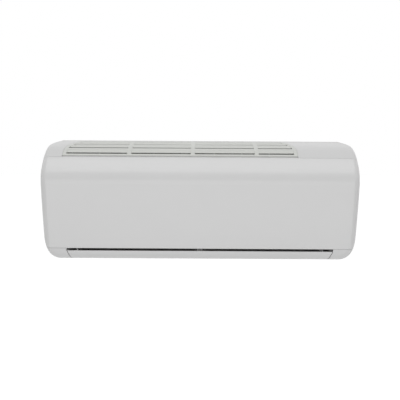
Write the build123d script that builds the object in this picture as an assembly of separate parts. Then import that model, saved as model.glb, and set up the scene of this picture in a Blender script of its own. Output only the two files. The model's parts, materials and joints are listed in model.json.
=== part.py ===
from build123d import *
from math import acos, cos, degrees, hypot, radians, sin, sqrt
import os

# A wall-hung indoor air conditioning unit.
# X runs along the unit, Y runs into the wall, Z runs up. The origin is the centre of the
# wall plate's screw pattern on the wall. Inside this file a place is given as
# (x, depth, height): depth is measured out from the wall, height up from the underside.
# All sizes are in millimetres and all angles in degrees.

# ---- casing ----
UNIT_WIDTH = 786.0
UNIT_HEIGHT = 270.0
WALL = 2.6
SCREW_CENTRE_HEIGHT = 140.0
SEAM = 0.8

# cross-section of the casing: a chain of arcs, each tangent to the one before
TOP_FLAT = 60.0
TOP_RADIUS = 186.0
TOP_END_ANGLE = 24.0
SHOULDER_RADIUS = 170.0
SHOULDER_END_ANGLE = 38.0
BROW_RADIUS = 54.0
BROW_END_ANGLE = 85.0
FACE_RADIUS = 1100.0
CHIN_RADIUS = 22.0

# rounding of the casing's two ends: the length along X that each edge takes, and its fall there
END_TOP_LENGTH = 16.0
END_TOP_DROP = 8.0
END_FRONT_LENGTH = 20.0
END_FRONT_DROP = 16.0
END_BOTTOM_LENGTH = 44.0
END_BOTTOM_RISE = 46.0
# how far the ends draw in from the top to the underside, and towards the wall
END_LEAN = 6.5
TAPER_DEPTH = 62.0
TAPER_INSET = 27.0

# splits of the casing
CHASSIS_DEPTH = 8.0
BACK_WALL = 2.5
PANEL_BACK = 137.4
PANEL_TOP_EDGE = 139.0
PANEL_BOTTOM = 33.0
GROOVE_BACK = 131.5
PANEL_FLANGE = 9.0
LIP_THICK = 0.4

# panel hinge
HINGE_DEPTH = 143.0
HINGE_DROP = 31.0
HINGE_PIN_RADIUS = 2.5
HINGE_EAR_INSET = 36.0
HINGE_EAR_THICK = 4.0
HINGE_EAR_RADIUS = 5.8
GUTTER_CLEARANCE = 14.7
RUNNING_GAP = 0.05

# intake grille insert
GRILLE_LEFT_INSET = 48.0
GRILLE_RIGHT_INSET = 149.0
GRILLE_END_RADIUS = 200.0
GRILLE_END_DEPTH = 115.0
GRILLE_BACK = 14.0
GRILLE_BORDER = 9.5
GRILLE_SEAM = 0.4
# each slot spans two depths and has one sloping blade, given by its run and its fall
GRILLE_SLOTS = ((20.0, 29.5), (44.0, 62.0), (74.0, 94.0), (104.0, 125.2))
GRILLE_BLADES = ((4.0, 1.0), (9.0, 0.8), (11.0, 2.4), (12.0, 5.0))
BLADE_EDGE = 1.2
BLADE_ROOT = 1.6
RIB_PLACES = (-178.0, -19.0, 141.0)
RIB_WIDTH = 10.0
RIB_DROP = 6.0

# flap over the air outlet
FLAP_TOP = 26.4
FLAP_BACK = 110.0
FLAP_INSET = 63.0
FLAP_SLANT = 11.5
FLAP_SEAM = 1.6
FLAP_THICK = 5.0
FLAP_SKIN = 1.2
FLAP_EDGE = 4.0
FLAP_PIVOT_DEPTH = 114.0
FLAP_PIVOT_HEIGHT = 10.0
FLAP_PIN_RADIUS = 2.5
OUTLET_BACK = 105.0
END_PLATE_GAP = 1.4
END_PLATE_THICK = 3.0
END_PLATE_TOP = 46.0
SUPPORT_HALF = 6.0
FLAP_MOTOR_RADIUS = 12.0
FLAP_MOTOR_LENGTH = 16.0

# cross-flow fan
FAN_DEPTH = 88.0
FAN_HEIGHT = 98.0
FAN_RADIUS = 48.0
FAN_LEFT_GAP = 9.0
FAN_RIGHT_GAP = 6.0
FAN_BLADES = 35
FAN_DISCS = 9
FAN_DISC_THICK = 2.0
BLADE_CHORD = 11.0
BLADE_THICK = 1.2
SHAFT_RADIUS = 4.0
FAN_GAP = 7.0

# scroll behind the fan, and the air ramp that runs on from its low end
VOLUTE_THICK = 2.5
VOLUTE_TOP = 130.0
VOLUTE_LOW = 225.0
RAMP_END_HEIGHT = 4.4

# bulkheads on each side of the fan, and the room outside them
LEFT_ROOM = 56.0
RIGHT_ROOM = 125.0
BULKHEAD_THICK = 2.5

# fan motor
MOTOR_GAP = 16.0
MOTOR_LENGTH = 42.0
MOTOR_RADIUS = 40.0

# heat exchanger: three slabs joined at (depth, height) corners
COIL_FOOT = (155.0, 70.0)
COIL_KNEE_DEPTH = 155.0
COIL_KNEE_DROP = 120.0
COIL_APEX_DEPTH = 92.0
COIL_APEX_DROP = 38.0
COIL_TAIL_DEPTH = 35.0
COIL_TAIL_DROP = 107.0
COIL_THICK = 24.0
COIL_LEFT_GAP = 5.0
COIL_RIGHT_GAP = 6.0
KNEE_TRIM = 4.6
APEX_TRIM = 16.0
TUBE_RADIUS = 3.5
TUBE_ROW_GAP = 12.0
TUBE_PITCH = 20.0
COIL_PLATE = 1.0

# air filters, curved about one axis
FILTER_CENTRE_DEPTH = 30.0
FILTER_CENTRE_DROP = 165.0
FILTER_RADIUS = 149.0
FILTER_THICK = 2.5
FILTER_LOW_ANGLE = -14.0
FILTER_HIGH_ANGLE = 88.0
FILTER_SPLIT = -42.0
FILTER_SPLIT_GAP = 2.0
FILTER_LEFT_INSET = 57.0
FILTER_RIGHT_INSET = 139.0
FILTER_BORDER = 7.0
MESH_THICK = 0.45
POST_GAP = 1.5
POST_THICK = 4.0
POST_WIDTH = 14.0
POST_LAP = 4.0

# vertical air vanes and their link bars
VANE_COUNT = 5
VANE_PITCH = 58.0
VANE_LEFT_INSET = 91.0
VANE_RIGHT_FIRST = 18.0
VANE_THICK = 1.8
VANE_PIVOT_RUN = 46.0
VANE_PIN_RADIUS = 1.5
VANE_CRANK = 18.0
VANE_TOP = 24.0
LINK_SLACK = 0.55
LINK_THICK = 2.0
LINK_WIDTH = 10.0

# pipes; a run is ((depth, drop below the unit's top) at the coil, inset of its fall from the
# unit's right end, height of the channel, X of the nut)
SUCTION_RADIUS = 4.8
LIQUID_RADIUS = 3.2
PIPE_BEND = 12.0
SUCTION_RUN = ((34.0, 102.0), 103.0, 40.5, 24.0)
LIQUID_RUN = ((22.0, 88.0), 114.0, 24.0, 74.0)
NUT_LENGTH = 20.0

# controls
CONTROL_WIDTH = 31.6
CONTROL_DEPTH = 150.0
CONTROL_LOW = 60.0
CONTROL_TOP_DROP = 90.0
CONTROL_WALL = 2.0
COVER_INSET = 21.0
COVER_RADIUS = 150.0
COVER_THICK = 2.5
BUTTON_INSET = 93.0
BUTTON_DROP = 198.0
BUTTON_RADIUS = 4.0
COVER_SCREW_INSET = 43.0
TERMINAL_INSET = 43.0
TERMINAL_HALF = 12.0
DISPLAY_INSET = 87.0
DISPLAY_HALF = 24.0
COVER_SCREW_DROPS = (180.0, 120.0)
SWITCH_DEPTH = 164.0
BOARD_STANDOFF = 3.0
BOARD_THICK = 1.6
BOARD_MARGIN = 6.0
SENSOR_INSET = 204.0
SENSOR_HEIGHT = 111.0
SENSOR_RADIUS = 3.0

# screws that hold the frame's underside to the chassis, as (x, depth)
SCREW_PLACES = ((-250.0, 60.0), (0.0, 60.0), (240.0, 60.0))

# wall plate
PLATE_THICK = 1.5
PLATE_HALF_WIDTH = 262.0
PLATE_LOW = 62.0
PLATE_TOP_DROP = 30.0
SCREW_SPACING_X = 400.0
SCREW_SPACING_Z = 130.0
SCREW_HOLE_RADIUS = 2.6
TONGUE_PLACES = (-220.0, 0.0, 220.0)
TONGUE_WIDTH = 30.0
TONGUE_DROP = 34.0
TONGUE_RISE = 9.5
LIFT = 12.0
PLAY = 0.3

# places that follow from the sizes above
HALF_WIDTH = UNIT_WIDTH / 2
LEFT_BULKHEAD = -HALF_WIDTH + LEFT_ROOM
RIGHT_BULKHEAD = HALF_WIDTH - RIGHT_ROOM
FAN_LEFT = LEFT_BULKHEAD + FAN_LEFT_GAP
FAN_RIGHT = RIGHT_BULKHEAD - FAN_RIGHT_GAP
FAN_CENTRE = (FAN_DEPTH, FAN_HEIGHT)
VOLUTE_RADIUS = FAN_RADIUS + FAN_GAP
MOTOR_LEFT = RIGHT_BULKHEAD + MOTOR_GAP
MOTOR_RIGHT = MOTOR_LEFT + MOTOR_LENGTH
COIL_LEFT = LEFT_BULKHEAD + COIL_LEFT_GAP
COIL_RIGHT = RIGHT_BULKHEAD - COIL_RIGHT_GAP
COIL_APEX = (COIL_APEX_DEPTH, UNIT_HEIGHT - COIL_APEX_DROP)
COIL_KNEE = (COIL_KNEE_DEPTH, UNIT_HEIGHT - COIL_KNEE_DROP)
COIL_TAIL = (COIL_TAIL_DEPTH, UNIT_HEIGHT - COIL_TAIL_DROP)
FILTER_CENTRE = (FILTER_CENTRE_DEPTH, UNIT_HEIGHT - FILTER_CENTRE_DROP)
FILTER_SPANS = {"left": (-HALF_WIDTH + FILTER_LEFT_INSET, FILTER_SPLIT - FILTER_SPLIT_GAP / 2),
                "right": (FILTER_SPLIT + FILTER_SPLIT_GAP / 2, HALF_WIDTH - FILTER_RIGHT_INSET)}
POST_SPANS = ((FILTER_SPANS["left"][0] + POST_LAP - POST_WIDTH, FILTER_SPANS["left"][0] + POST_LAP),
              (FILTER_SPLIT - POST_WIDTH / 2 - 1, FILTER_SPLIT + POST_WIDTH / 2 + 1),
              (FILTER_SPANS["right"][1] - POST_LAP, FILTER_SPANS["right"][1] - POST_LAP + POST_WIDTH))
VANE_FIRST = {"left": -HALF_WIDTH + VANE_LEFT_INSET, "right": VANE_RIGHT_FIRST}
FLAP_HALF_TOP = HALF_WIDTH - FLAP_INSET
FLAP_HALF_BOTTOM = FLAP_HALF_TOP - FLAP_SLANT
FLAP_PIVOT = (FLAP_PIVOT_DEPTH, FLAP_PIVOT_HEIGHT)
END_PLATE_X = FLAP_HALF_TOP + END_PLATE_GAP
CONTROL_LEFT = END_PLATE_X + END_PLATE_THICK
CONTROL_X = (CONTROL_LEFT, CONTROL_LEFT + CONTROL_WIDTH)
COVER_X = (RIGHT_BULKHEAD, HALF_WIDTH - COVER_INSET)
BOARD_LEFT = CONTROL_X[0] + CONTROL_WALL + BOARD_STANDOFF
BOARD_X = (BOARD_LEFT, BOARD_LEFT + BOARD_THICK)
CONTROL_HEIGHTS = (CONTROL_LOW, UNIT_HEIGHT - CONTROL_TOP_DROP)
BUTTON_PLACE = (HALF_WIDTH - BUTTON_INSET, UNIT_HEIGHT - BUTTON_DROP)
COVER_SCREWS = [(HALF_WIDTH - COVER_SCREW_INSET, UNIT_HEIGHT - drop) for drop in COVER_SCREW_DROPS]
HINGE_HEIGHT = UNIT_HEIGHT - HINGE_DROP
HINGE = (HINGE_DEPTH, HINGE_HEIGHT)
HINGE_EAR_X = HALF_WIDTH - HINGE_EAR_INSET
GRILLE_LEFT = -HALF_WIDTH + GRILLE_LEFT_INSET
GRILLE_RIGHT = HALF_WIDTH - GRILLE_RIGHT_INSET
PLATE_HEIGHTS = (PLATE_LOW, UNIT_HEIGHT - PLATE_TOP_DROP)
TONGUE_HEIGHT = UNIT_HEIGHT - TONGUE_DROP
WIDE = (-HALF_WIDTH - 10, HALF_WIDTH + 10)
ALL_HEIGHT = (-20.0, UNIT_HEIGHT + 30)

os.makedirs("parts", exist_ok=True)


# ---- helpers ----
def spot(x, depth, height):
    """The point of the part's frame at a depth from the wall and a height above the underside."""
    return Vector(x, -depth, height - SCREW_CENTRE_HEIGHT)


def block(x_span, depth_span, height_span):
    """A box between two values of x, depth and height."""
    corner = Plane(origin=spot(x_span[0], depth_span[1], height_span[0]))
    return Solid.make_box(x_span[1] - x_span[0], depth_span[1] - depth_span[0],
                          height_span[1] - height_span[0], corner)


def prism(x_span, outline):
    """A bar along X whose section is a polygon of (depth, height) points."""
    wire = Wire.make_polygon([spot(x_span[0], d, h) for d, h in outline], close=True)
    return Solid.extrude(Face(wire), Vector(x_span[1] - x_span[0], 0, 0))


def upright_prism(outline, height_span):
    """A vertical bar whose plan is a polygon of (x, depth) points."""
    wire = Wire.make_polygon([spot(x, d, height_span[0]) for x, d in outline], close=True)
    return Solid.extrude(Face(wire), Vector(0, 0, height_span[1] - height_span[0]))


def front_prism(outline, depth_span):
    """A bar along depth whose front view is a polygon of (x, height) points."""
    wire = Wire.make_polygon([spot(x, depth_span[0], h) for x, h in outline], close=True)
    return Solid.extrude(Face(wire), Vector(0, depth_span[0] - depth_span[1], 0))


def rod(x_span, centre, radius):
    """A round bar along X about a (depth, height) centre."""
    base = Plane(origin=spot(x_span[0], *centre), z_dir=(1, 0, 0))
    return Solid.make_cylinder(radius, x_span[1] - x_span[0], base)


def ring(x_span, centre, inner, outer):
    return rod(x_span, centre, outer) - rod((x_span[0] - 1, x_span[1] + 1), centre, inner)


def stub(x, height, depth_span, radius):
    """A round bar that points straight out from the wall."""
    base = Plane(origin=spot(x, depth_span[0], height), z_dir=(0, -1, 0))
    return Solid.make_cylinder(radius, depth_span[1] - depth_span[0], base)


def pillar(x, depth, height_span, radius):
    base = Plane(origin=spot(x, depth, height_span[0]))
    return Solid.make_cylinder(radius, height_span[1] - height_span[0], base)


def polar(centre, radius, angle):
    """A (depth, height) point; angle 0 points straight out from the wall, 90 points up."""
    return (centre[0] + radius * cos(radians(angle)), centre[1] + radius * sin(radians(angle)))


def arc_band(x_span, centre, inner, outer, start, end):
    """A curved wall along X: a ring sector between two radii and two angles."""
    def at(radius, angle):
        return spot(x_span[0], *polar(centre, radius, angle))
    middle = (start + end) / 2
    edges = [Edge.make_three_point_arc(at(outer, start), at(outer, middle), at(outer, end)),
             Edge.make_line(at(outer, end), at(inner, end)),
             Edge.make_three_point_arc(at(inner, end), at(inner, middle), at(inner, start)),
             Edge.make_line(at(inner, start), at(outer, start))]
    return Solid.extrude(Face(Wire(edges)), Vector(x_span[1] - x_span[0], 0, 0))


def strip(start, end, thickness, margin=0.0):
    """The outline of a straight wall between two (depth, height) points."""
    length = hypot(end[0] - start[0], end[1] - start[1])
    along = ((end[0] - start[0]) / length, (end[1] - start[1]) / length)
    half = thickness / 2 + margin
    side = (-along[1] * half, along[0] * half)
    first = (start[0] - along[0] * margin, start[1] - along[1] * margin)
    last = (end[0] + along[0] * margin, end[1] + along[1] * margin)
    return [(first[0] + side[0], first[1] + side[1]), (last[0] + side[0], last[1] + side[1]),
            (last[0] - side[0], last[1] - side[1]), (first[0] - side[0], first[1] - side[1])]


def towards(start, end, distance):
    """The (depth, height) point at a distance from start on the way to end."""
    length = hypot(end[0] - start[0], end[1] - start[1])
    share = distance / length
    return (start[0] + (end[0] - start[0]) * share, start[1] + (end[1] - start[1]) * share)


def tube_along(points, radius):
    """A round bar along straight runs joined by bends of one radius."""
    path = FilletPolyline(*points, radius=PIPE_BEND)
    start = path.position_at(0)
    section = Wire([Edge.make_circle(radius, Plane(origin=start, z_dir=path.tangent_at(0)))])
    return Solid.sweep(section, path)


def save(name, shape):
    """Writes one sub-part; a group of separate solids stays a compound."""
    solids = shape.solids()
    kept = solids[0] if len(solids) == 1 else Compound(children=list(solids))
    kept.label = name
    export_step(kept, f"parts/{name}.step")


# ---- the casing's envelope ----
def chain_ends(top_drop, front_drop, bottom_rise):
    """Centres, radii and angles of the section's arcs, from the top to the chin."""
    centre = (TOP_FLAT - front_drop, UNIT_HEIGHT - top_drop - TOP_RADIUS)
    arcs = []
    start = 0.0
    for radius, end in ((TOP_RADIUS, TOP_END_ANGLE), (SHOULDER_RADIUS, SHOULDER_END_ANGLE),
                        (BROW_RADIUS, BROW_END_ANGLE), (FACE_RADIUS, None)):
        if arcs:
            last_centre, last_radius = arcs[-1][0], arcs[-1][1]
            shift = last_radius - radius
            centre = (last_centre[0] + shift * sin(radians(start)),
                      last_centre[1] + shift * cos(radians(start)))
        if end is None:
            rise = CHIN_RADIUS + bottom_rise - centre[1]
            end = degrees(acos(rise / (FACE_RADIUS - CHIN_RADIUS)))
        arcs.append((centre, radius, start, end))
        start = end
    shift = FACE_RADIUS - CHIN_RADIUS
    chin = (centre[0] + shift * sin(radians(start)), centre[1] + shift * cos(radians(start)))
    arcs.append((chin, CHIN_RADIUS, start, 180.0))
    return arcs


def end_fall(x, inset, length, fall):
    """How far an edge of the casing has fallen at x, on a quarter ellipse that ends at the end."""
    share = (abs(x) - HALF_WIDTH + length) / (length - inset)
    return max(0.0, fall - inset) * (1 - sqrt(1 - min(1.0, max(0.0, share)) ** 2))


def end_share(x, inset):
    """0 where the rounding of an end starts, 1 at the end."""
    return max(0.0, (abs(x) - HALF_WIDTH + END_BOTTOM_LENGTH) / (END_BOTTOM_LENGTH - inset))


def section_wire(x, inset, back):
    """The casing's section that crosses its top at x and leans in towards the underside."""
    arcs = chain_ends(end_fall(x, inset, END_TOP_LENGTH, END_TOP_DROP),
                      end_fall(x, inset, END_FRONT_LENGTH, END_FRONT_DROP),
                      end_fall(x, inset, END_BOTTOM_LENGTH, END_BOTTOM_RISE))
    slope = END_LEAN / UNIT_HEIGHT * end_share(x, inset)

    def at(depth, height):
        lean = slope * (UNIT_HEIGHT - height)
        return spot(x - lean if x > 0 else x + lean, depth, height)

    def on(arc, angle):
        centre, radius = arc[0], arc[1] - inset
        return at(centre[0] + radius * sin(radians(angle)), centre[1] + radius * cos(radians(angle)))
    edges = [Edge.make_three_point_arc(on(arc, arc[2]), on(arc, (arc[2] + arc[3]) / 2), on(arc, arc[3]))
             for arc in arcs]
    first, last = on(arcs[0], 0.0), on(arcs[-1], 180.0)
    top_back = Vector(first.X, -back, first.Z)
    low_back = Vector(last.X, -back, last.Z)
    edges = [Edge.make_line(top_back, first)] + edges
    edges += [Edge.make_line(last, low_back), Edge.make_line(low_back, top_back)]
    return Wire(edges)


def plan(inset):
    """The plan outline that narrows the casing towards the wall."""
    side = sqrt(TAPER_DEPTH ** 2 + TAPER_INSET ** 2) / TAPER_DEPTH
    half = HALF_WIDTH - inset * side
    narrow = half - TAPER_INSET * (1 + 10 / TAPER_DEPTH)
    wide = half + TAPER_INSET * 10 / TAPER_DEPTH
    outline = [(-narrow, -10.0), (-wide, TAPER_DEPTH + 10), (-wide, 230.0),
               (wide, 230.0), (wide, TAPER_DEPTH + 10), (narrow, -10.0)]
    return upright_prism(outline, ALL_HEIGHT)


def envelope(inset=0.0):
    """The casing's outer form, drawn in by inset; an inner form runs on behind the wall."""
    back = -5.0 if inset else 0.0
    shoulder = HALF_WIDTH - END_BOTTOM_LENGTH
    near_end = HALF_WIDTH - END_TOP_LENGTH
    body = Solid.extrude(Face(section_wire(-shoulder, inset, back)), Vector(2 * shoulder, 0, 0))
    wide = [shoulder + (near_end - shoulder) * share for share in (0.0, 0.35, 0.7, 1.0)]
    tight = [near_end + (END_TOP_LENGTH - inset) * sin(radians(angle)) for angle in range(0, 91, 18)]
    for side in (1, -1):
        for places in (wide, tight):
            body = body + Solid.make_loft([section_wire(side * x, inset, back) for x in places], False)
    return body & plan(inset)


def top_height(depth):
    """Height of the casing's top surface at a depth in front of its flat."""
    for centre, radius, _, end in chain_ends(0.0, 0.0, 0.0):
        reach = max(0.0, depth - centre[0])
        if reach <= radius * sin(radians(min(end, 90.0))):
            return centre[1] + sqrt(radius ** 2 - reach ** 2)


PANEL_SWEEP = hypot(HINGE_DEPTH - PANEL_TOP_EDGE, top_height(PANEL_TOP_EDGE) - HINGE_HEIGHT)


OUTER = envelope()
INNER = envelope(WALL)
SHELL = OUTER - INNER


# ---- casing parts ----
def grille_end(side, depth, inset):
    """X of the grille insert's curved end at a depth."""
    sag = GRILLE_END_RADIUS - sqrt(GRILLE_END_RADIUS ** 2 - (depth - GRILLE_END_DEPTH) ** 2)
    if side < 0:
        return GRILLE_LEFT + sag + inset
    return GRILLE_RIGHT - sag - inset


def grille_plan(depth_span, inset):
    """An upright block with the grille insert's curved ends."""
    low = 200.0
    near, far = depth_span
    middle = (near + far) / 2

    def at(side, depth):
        return spot(grille_end(side, depth, inset), depth, low)
    edges = [Edge.make_line(at(-1, near), at(1, near)),
             Edge.make_three_point_arc(at(1, near), at(1, middle), at(1, far)),
             Edge.make_line(at(1, far), at(-1, far)),
             Edge.make_three_point_arc(at(-1, far), at(-1, middle), at(-1, near))]
    return Solid.extrude(Face(Wire(edges)), Vector(0, 0, 100.0))


def make_intake_grille():
    grille = SHELL & grille_plan((GRILLE_BACK, GROOVE_BACK), GRILLE_SEAM)
    for span in GRILLE_SLOTS:
        grille = grille - grille_plan(span, GRILLE_BORDER)
    for (start, _), (run, fall) in zip(GRILLE_SLOTS, GRILLE_BLADES):
        span = (grille_end(-1, start, GRILLE_BORDER - 1), grille_end(1, start, GRILLE_BORDER - 1))
        high, tip = top_height(start), top_height(start) - fall
        root = high - 2 * BLADE_ROOT
        blade = prism(span, [(start - BLADE_ROOT, high), (start, high - PLAY), (start + run, tip),
                             (start + run, tip - BLADE_EDGE), (start, root), (start - BLADE_ROOT, root)])
        grille = grille + (OUTER & blade)
    first, last = GRILLE_SLOTS[0][0], GRILLE_SLOTS[-1][1]
    deep = OUTER - envelope(RIB_DROP)
    for x in RIB_PLACES:
        bar = block((x - RIB_WIDTH / 2, x + RIB_WIDTH / 2), (first - 2, last + 2), (200.0, 300.0))
        grille = grille + (deep & bar)
    return grille


def make_front_panel():
    cover = block(WIDE, (PANEL_BACK, 230.0), (PANEL_BOTTOM, 300.0))
    panel = SHELL & cover
    panel = panel - block(WIDE, (PANEL_BACK - 5, PANEL_TOP_EDGE), (HINGE_HEIGHT + 2, 300.0))
    flange_zone = block(WIDE, (PANEL_BACK + 30, 230.0), (PANEL_BOTTOM, PANEL_BOTTOM + 2))
    panel = panel + ((OUTER - envelope(PANEL_FLANGE)) & flange_zone)
    for side in (-1, 1):
        inner = side * (HINGE_EAR_X - 5.0)
        outer = side * (HINGE_EAR_X - 1.0)
        span = (min(inner, outer), max(inner, outer))
        plate = prism(span, [(HINGE_DEPTH - 5, HINGE_HEIGHT - 5), (HINGE_DEPTH + 22, HINGE_HEIGHT - 14),
                             (HINGE_DEPTH + 26, HINGE_HEIGHT + 8), (HINGE_DEPTH - 2, HINGE_HEIGHT + 14),
                             (HINGE_DEPTH - 5, HINGE_HEIGHT + 5)])
        tip = side * (HINGE_EAR_X + HINGE_EAR_THICK + 1.0)
        pin = rod((min(inner, tip), max(inner, tip)), HINGE, HINGE_PIN_RADIUS)
        panel = panel + (plate & OUTER) + pin
    return panel


def flap_zone(gap, depth_span):
    """The front view of the flap's place, grown by gap."""
    top, low = FLAP_HALF_TOP + gap, FLAP_HALF_BOTTOM + gap
    outline = [(-low, -12.0), (-low, 0.0), (-top, FLAP_TOP), (-top, PANEL_BOTTOM + 2),
               (top, PANEL_BOTTOM + 2), (top, FLAP_TOP), (low, 0.0), (low, -12.0)]
    return front_prism(outline, depth_span)


def gutter():
    """A curved floor under the groove behind the panel, about the panel's hinge."""
    band = arc_band((-HALF_WIDTH + 22, HALF_WIDTH - 22), HINGE, GUTTER_CLEARANCE,
                    GUTTER_CLEARANCE + 2, 116, 205)
    curtain = block((-HALF_WIDTH + 22, HALF_WIDTH - 22), (GROOVE_BACK - 4, GROOVE_BACK - 0.1),
                    (HINGE_HEIGHT + 8, UNIT_HEIGHT))
    return (band + curtain) & INNER


def filter_posts():
    """Curved posts that hold the filters, from the lower beam to the gutter."""
    inner = FILTER_RADIUS + FILTER_THICK + POST_GAP
    stop_angle = FILTER_LOW_ANGLE - degrees(PLAY / FILTER_RADIUS)
    pieces = []
    for span in POST_SPANS:
        post = arc_band(span, FILTER_CENTRE, inner, inner + POST_THICK, -27, 54)
        stop = arc_band(span, FILTER_CENTRE, FILTER_RADIUS - 1, inner + 1, stop_angle - 2.4, stop_angle)
        link = block(span, (HINGE_DEPTH - GUTTER_CLEARANCE - 6, HINGE_DEPTH - GUTTER_CLEARANCE - 1),
                     (HINGE_HEIGHT - 10, HINGE_HEIGHT + 1))
        pieces += [post, stop, link]
    return pieces


def grille_ledge():
    """A thin ledge inside the casing that the grille insert sits on."""
    band = INNER - envelope(WALL + 2)
    rim = grille_plan((GRILLE_BACK - 5, GROOVE_BACK - 8), -5) - grille_plan(
        (GRILLE_BACK + 4, GROOVE_BACK + 10), 5)
    return band & rim


def make_front_frame():
    front = PANEL_BACK - SEAM
    body = SHELL & block(WIDE, (CHASSIS_DEPTH, front), ALL_HEIGHT)
    chin = SHELL & block(WIDE, (front - 1, 230.0), (-5.0, PANEL_BOTTOM - 0.6))
    frame = body + chin
    frame = frame - grille_plan((GRILLE_BACK - GRILLE_SEAM, GROOVE_BACK + 10), 0.0)
    ends = (grille_end(-1, GROOVE_BACK, 0.0), grille_end(1, GROOVE_BACK, 0.0))
    lip = (OUTER - envelope(LIP_THICK)) & block(WIDE, (front - 1, PANEL_TOP_EDGE - SEAM),
                                                (HINGE_HEIGHT + 4, 300.0))
    frame = frame - (rod(WIDE, HINGE, PANEL_SWEEP + PLAY) & envelope(LIP_THICK)) + lip
    frame = frame - block(ends, (GROOVE_BACK, front + 4), (HINGE_HEIGHT + 1, 300.0))
    frame = frame - flap_zone(FLAP_SEAM, (OUTLET_BACK, 230.0))
    for side in (-1, 1):
        inner, outer = side * END_PLATE_X, side * (END_PLATE_X + END_PLATE_THICK)
        span = (min(inner, outer), max(inner, outer))
        plate = prism(span, [(OUTLET_BACK - 1, 1.0), (215.0, 1.0), (215.0, PANEL_BOTTOM - 0.6),
                             (184.0, PANEL_BOTTOM - 0.6), (183.0, 36.0), (170.5, END_PLATE_TOP),
                             (128.0, END_PLATE_TOP)])
        frame = frame + (plate & envelope(0.5))
        ear = sorted((side * HINGE_EAR_X, side * (HINGE_EAR_X + HINGE_EAR_THICK)))
        neck = [(HINGE_DEPTH - 17, HINGE_HEIGHT - 9), (HINGE_DEPTH - 17, HINGE_HEIGHT - 4.4),
                (HINGE_DEPTH - 4.6, HINGE_HEIGHT + 1.8), (HINGE_DEPTH, HINGE_HEIGHT),
                (HINGE_DEPTH, HINGE_HEIGHT - 5.5)]
        frame = frame + prism(ear, neck) + rod(ear, HINGE, HINGE_EAR_RADIUS)
    beam = block((-END_PLATE_X, END_PLATE_X), (168.0, 182.5), (33.0, 35.5))
    web = block((-END_PLATE_X, END_PLATE_X), (168.0, 170.5), (33.0, END_PLATE_TOP))
    frame = frame.fuse(beam, web, gutter(), *filter_posts())
    frame = frame + grille_ledge()
    for side in (-1, 1):
        ends = sorted((side * (END_PLATE_X - 1), side * (END_PLATE_X + END_PLATE_THICK + 1)))
        frame = frame - rod(ends, FLAP_PIVOT, FLAP_PIN_RADIUS + RUNNING_GAP)
        hole = sorted((side * (HINGE_EAR_X - 0.5), side * (HINGE_EAR_X + HINGE_EAR_THICK + 0.5)))
        frame = frame - rod(hole, HINGE, HINGE_PIN_RADIUS + RUNNING_GAP)
    for x, depth in SCREW_PLACES:
        frame = frame + pillar(x, depth, (WALL - 1, 8.0), 5.0)
    for x, depth in SCREW_PLACES:
        frame = frame - pillar(x, depth, (-1.0, 3.0), 3.8) - pillar(x, depth, (0.0, 20.0), 1.8)
    return frame


# ---- chassis ----
FLOW = (cos(radians(VOLUTE_LOW + 90)), sin(radians(VOLUTE_LOW + 90)))
LIFTED = (-FLOW[1], FLOW[0])
RAMP_START = polar(FAN_CENTRE, VOLUTE_RADIUS, VOLUTE_LOW)


def on_ramp(run, rise):
    """A (depth, height) point: run along the air ramp, rise square to it."""
    return (RAMP_START[0] + FLOW[0] * run + LIFTED[0] * rise,
            RAMP_START[1] + FLOW[1] * run + LIFTED[1] * rise)


def ramp_point(x, run, rise):
    return spot(x, *on_ramp(run, rise))


def vane_places(side):
    return [VANE_FIRST[side] + i * VANE_PITCH for i in range(VANE_COUNT)]


def ramp_rod(x, run, rise_span, radius):
    """A round pin square to the air ramp."""
    direction = Vector(0, -LIFTED[0], LIFTED[1])
    base = Plane(origin=ramp_point(x, run, rise_span[0]), z_dir=direction)
    return Solid.make_cylinder(radius, rise_span[1] - rise_span[0], base)


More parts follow.
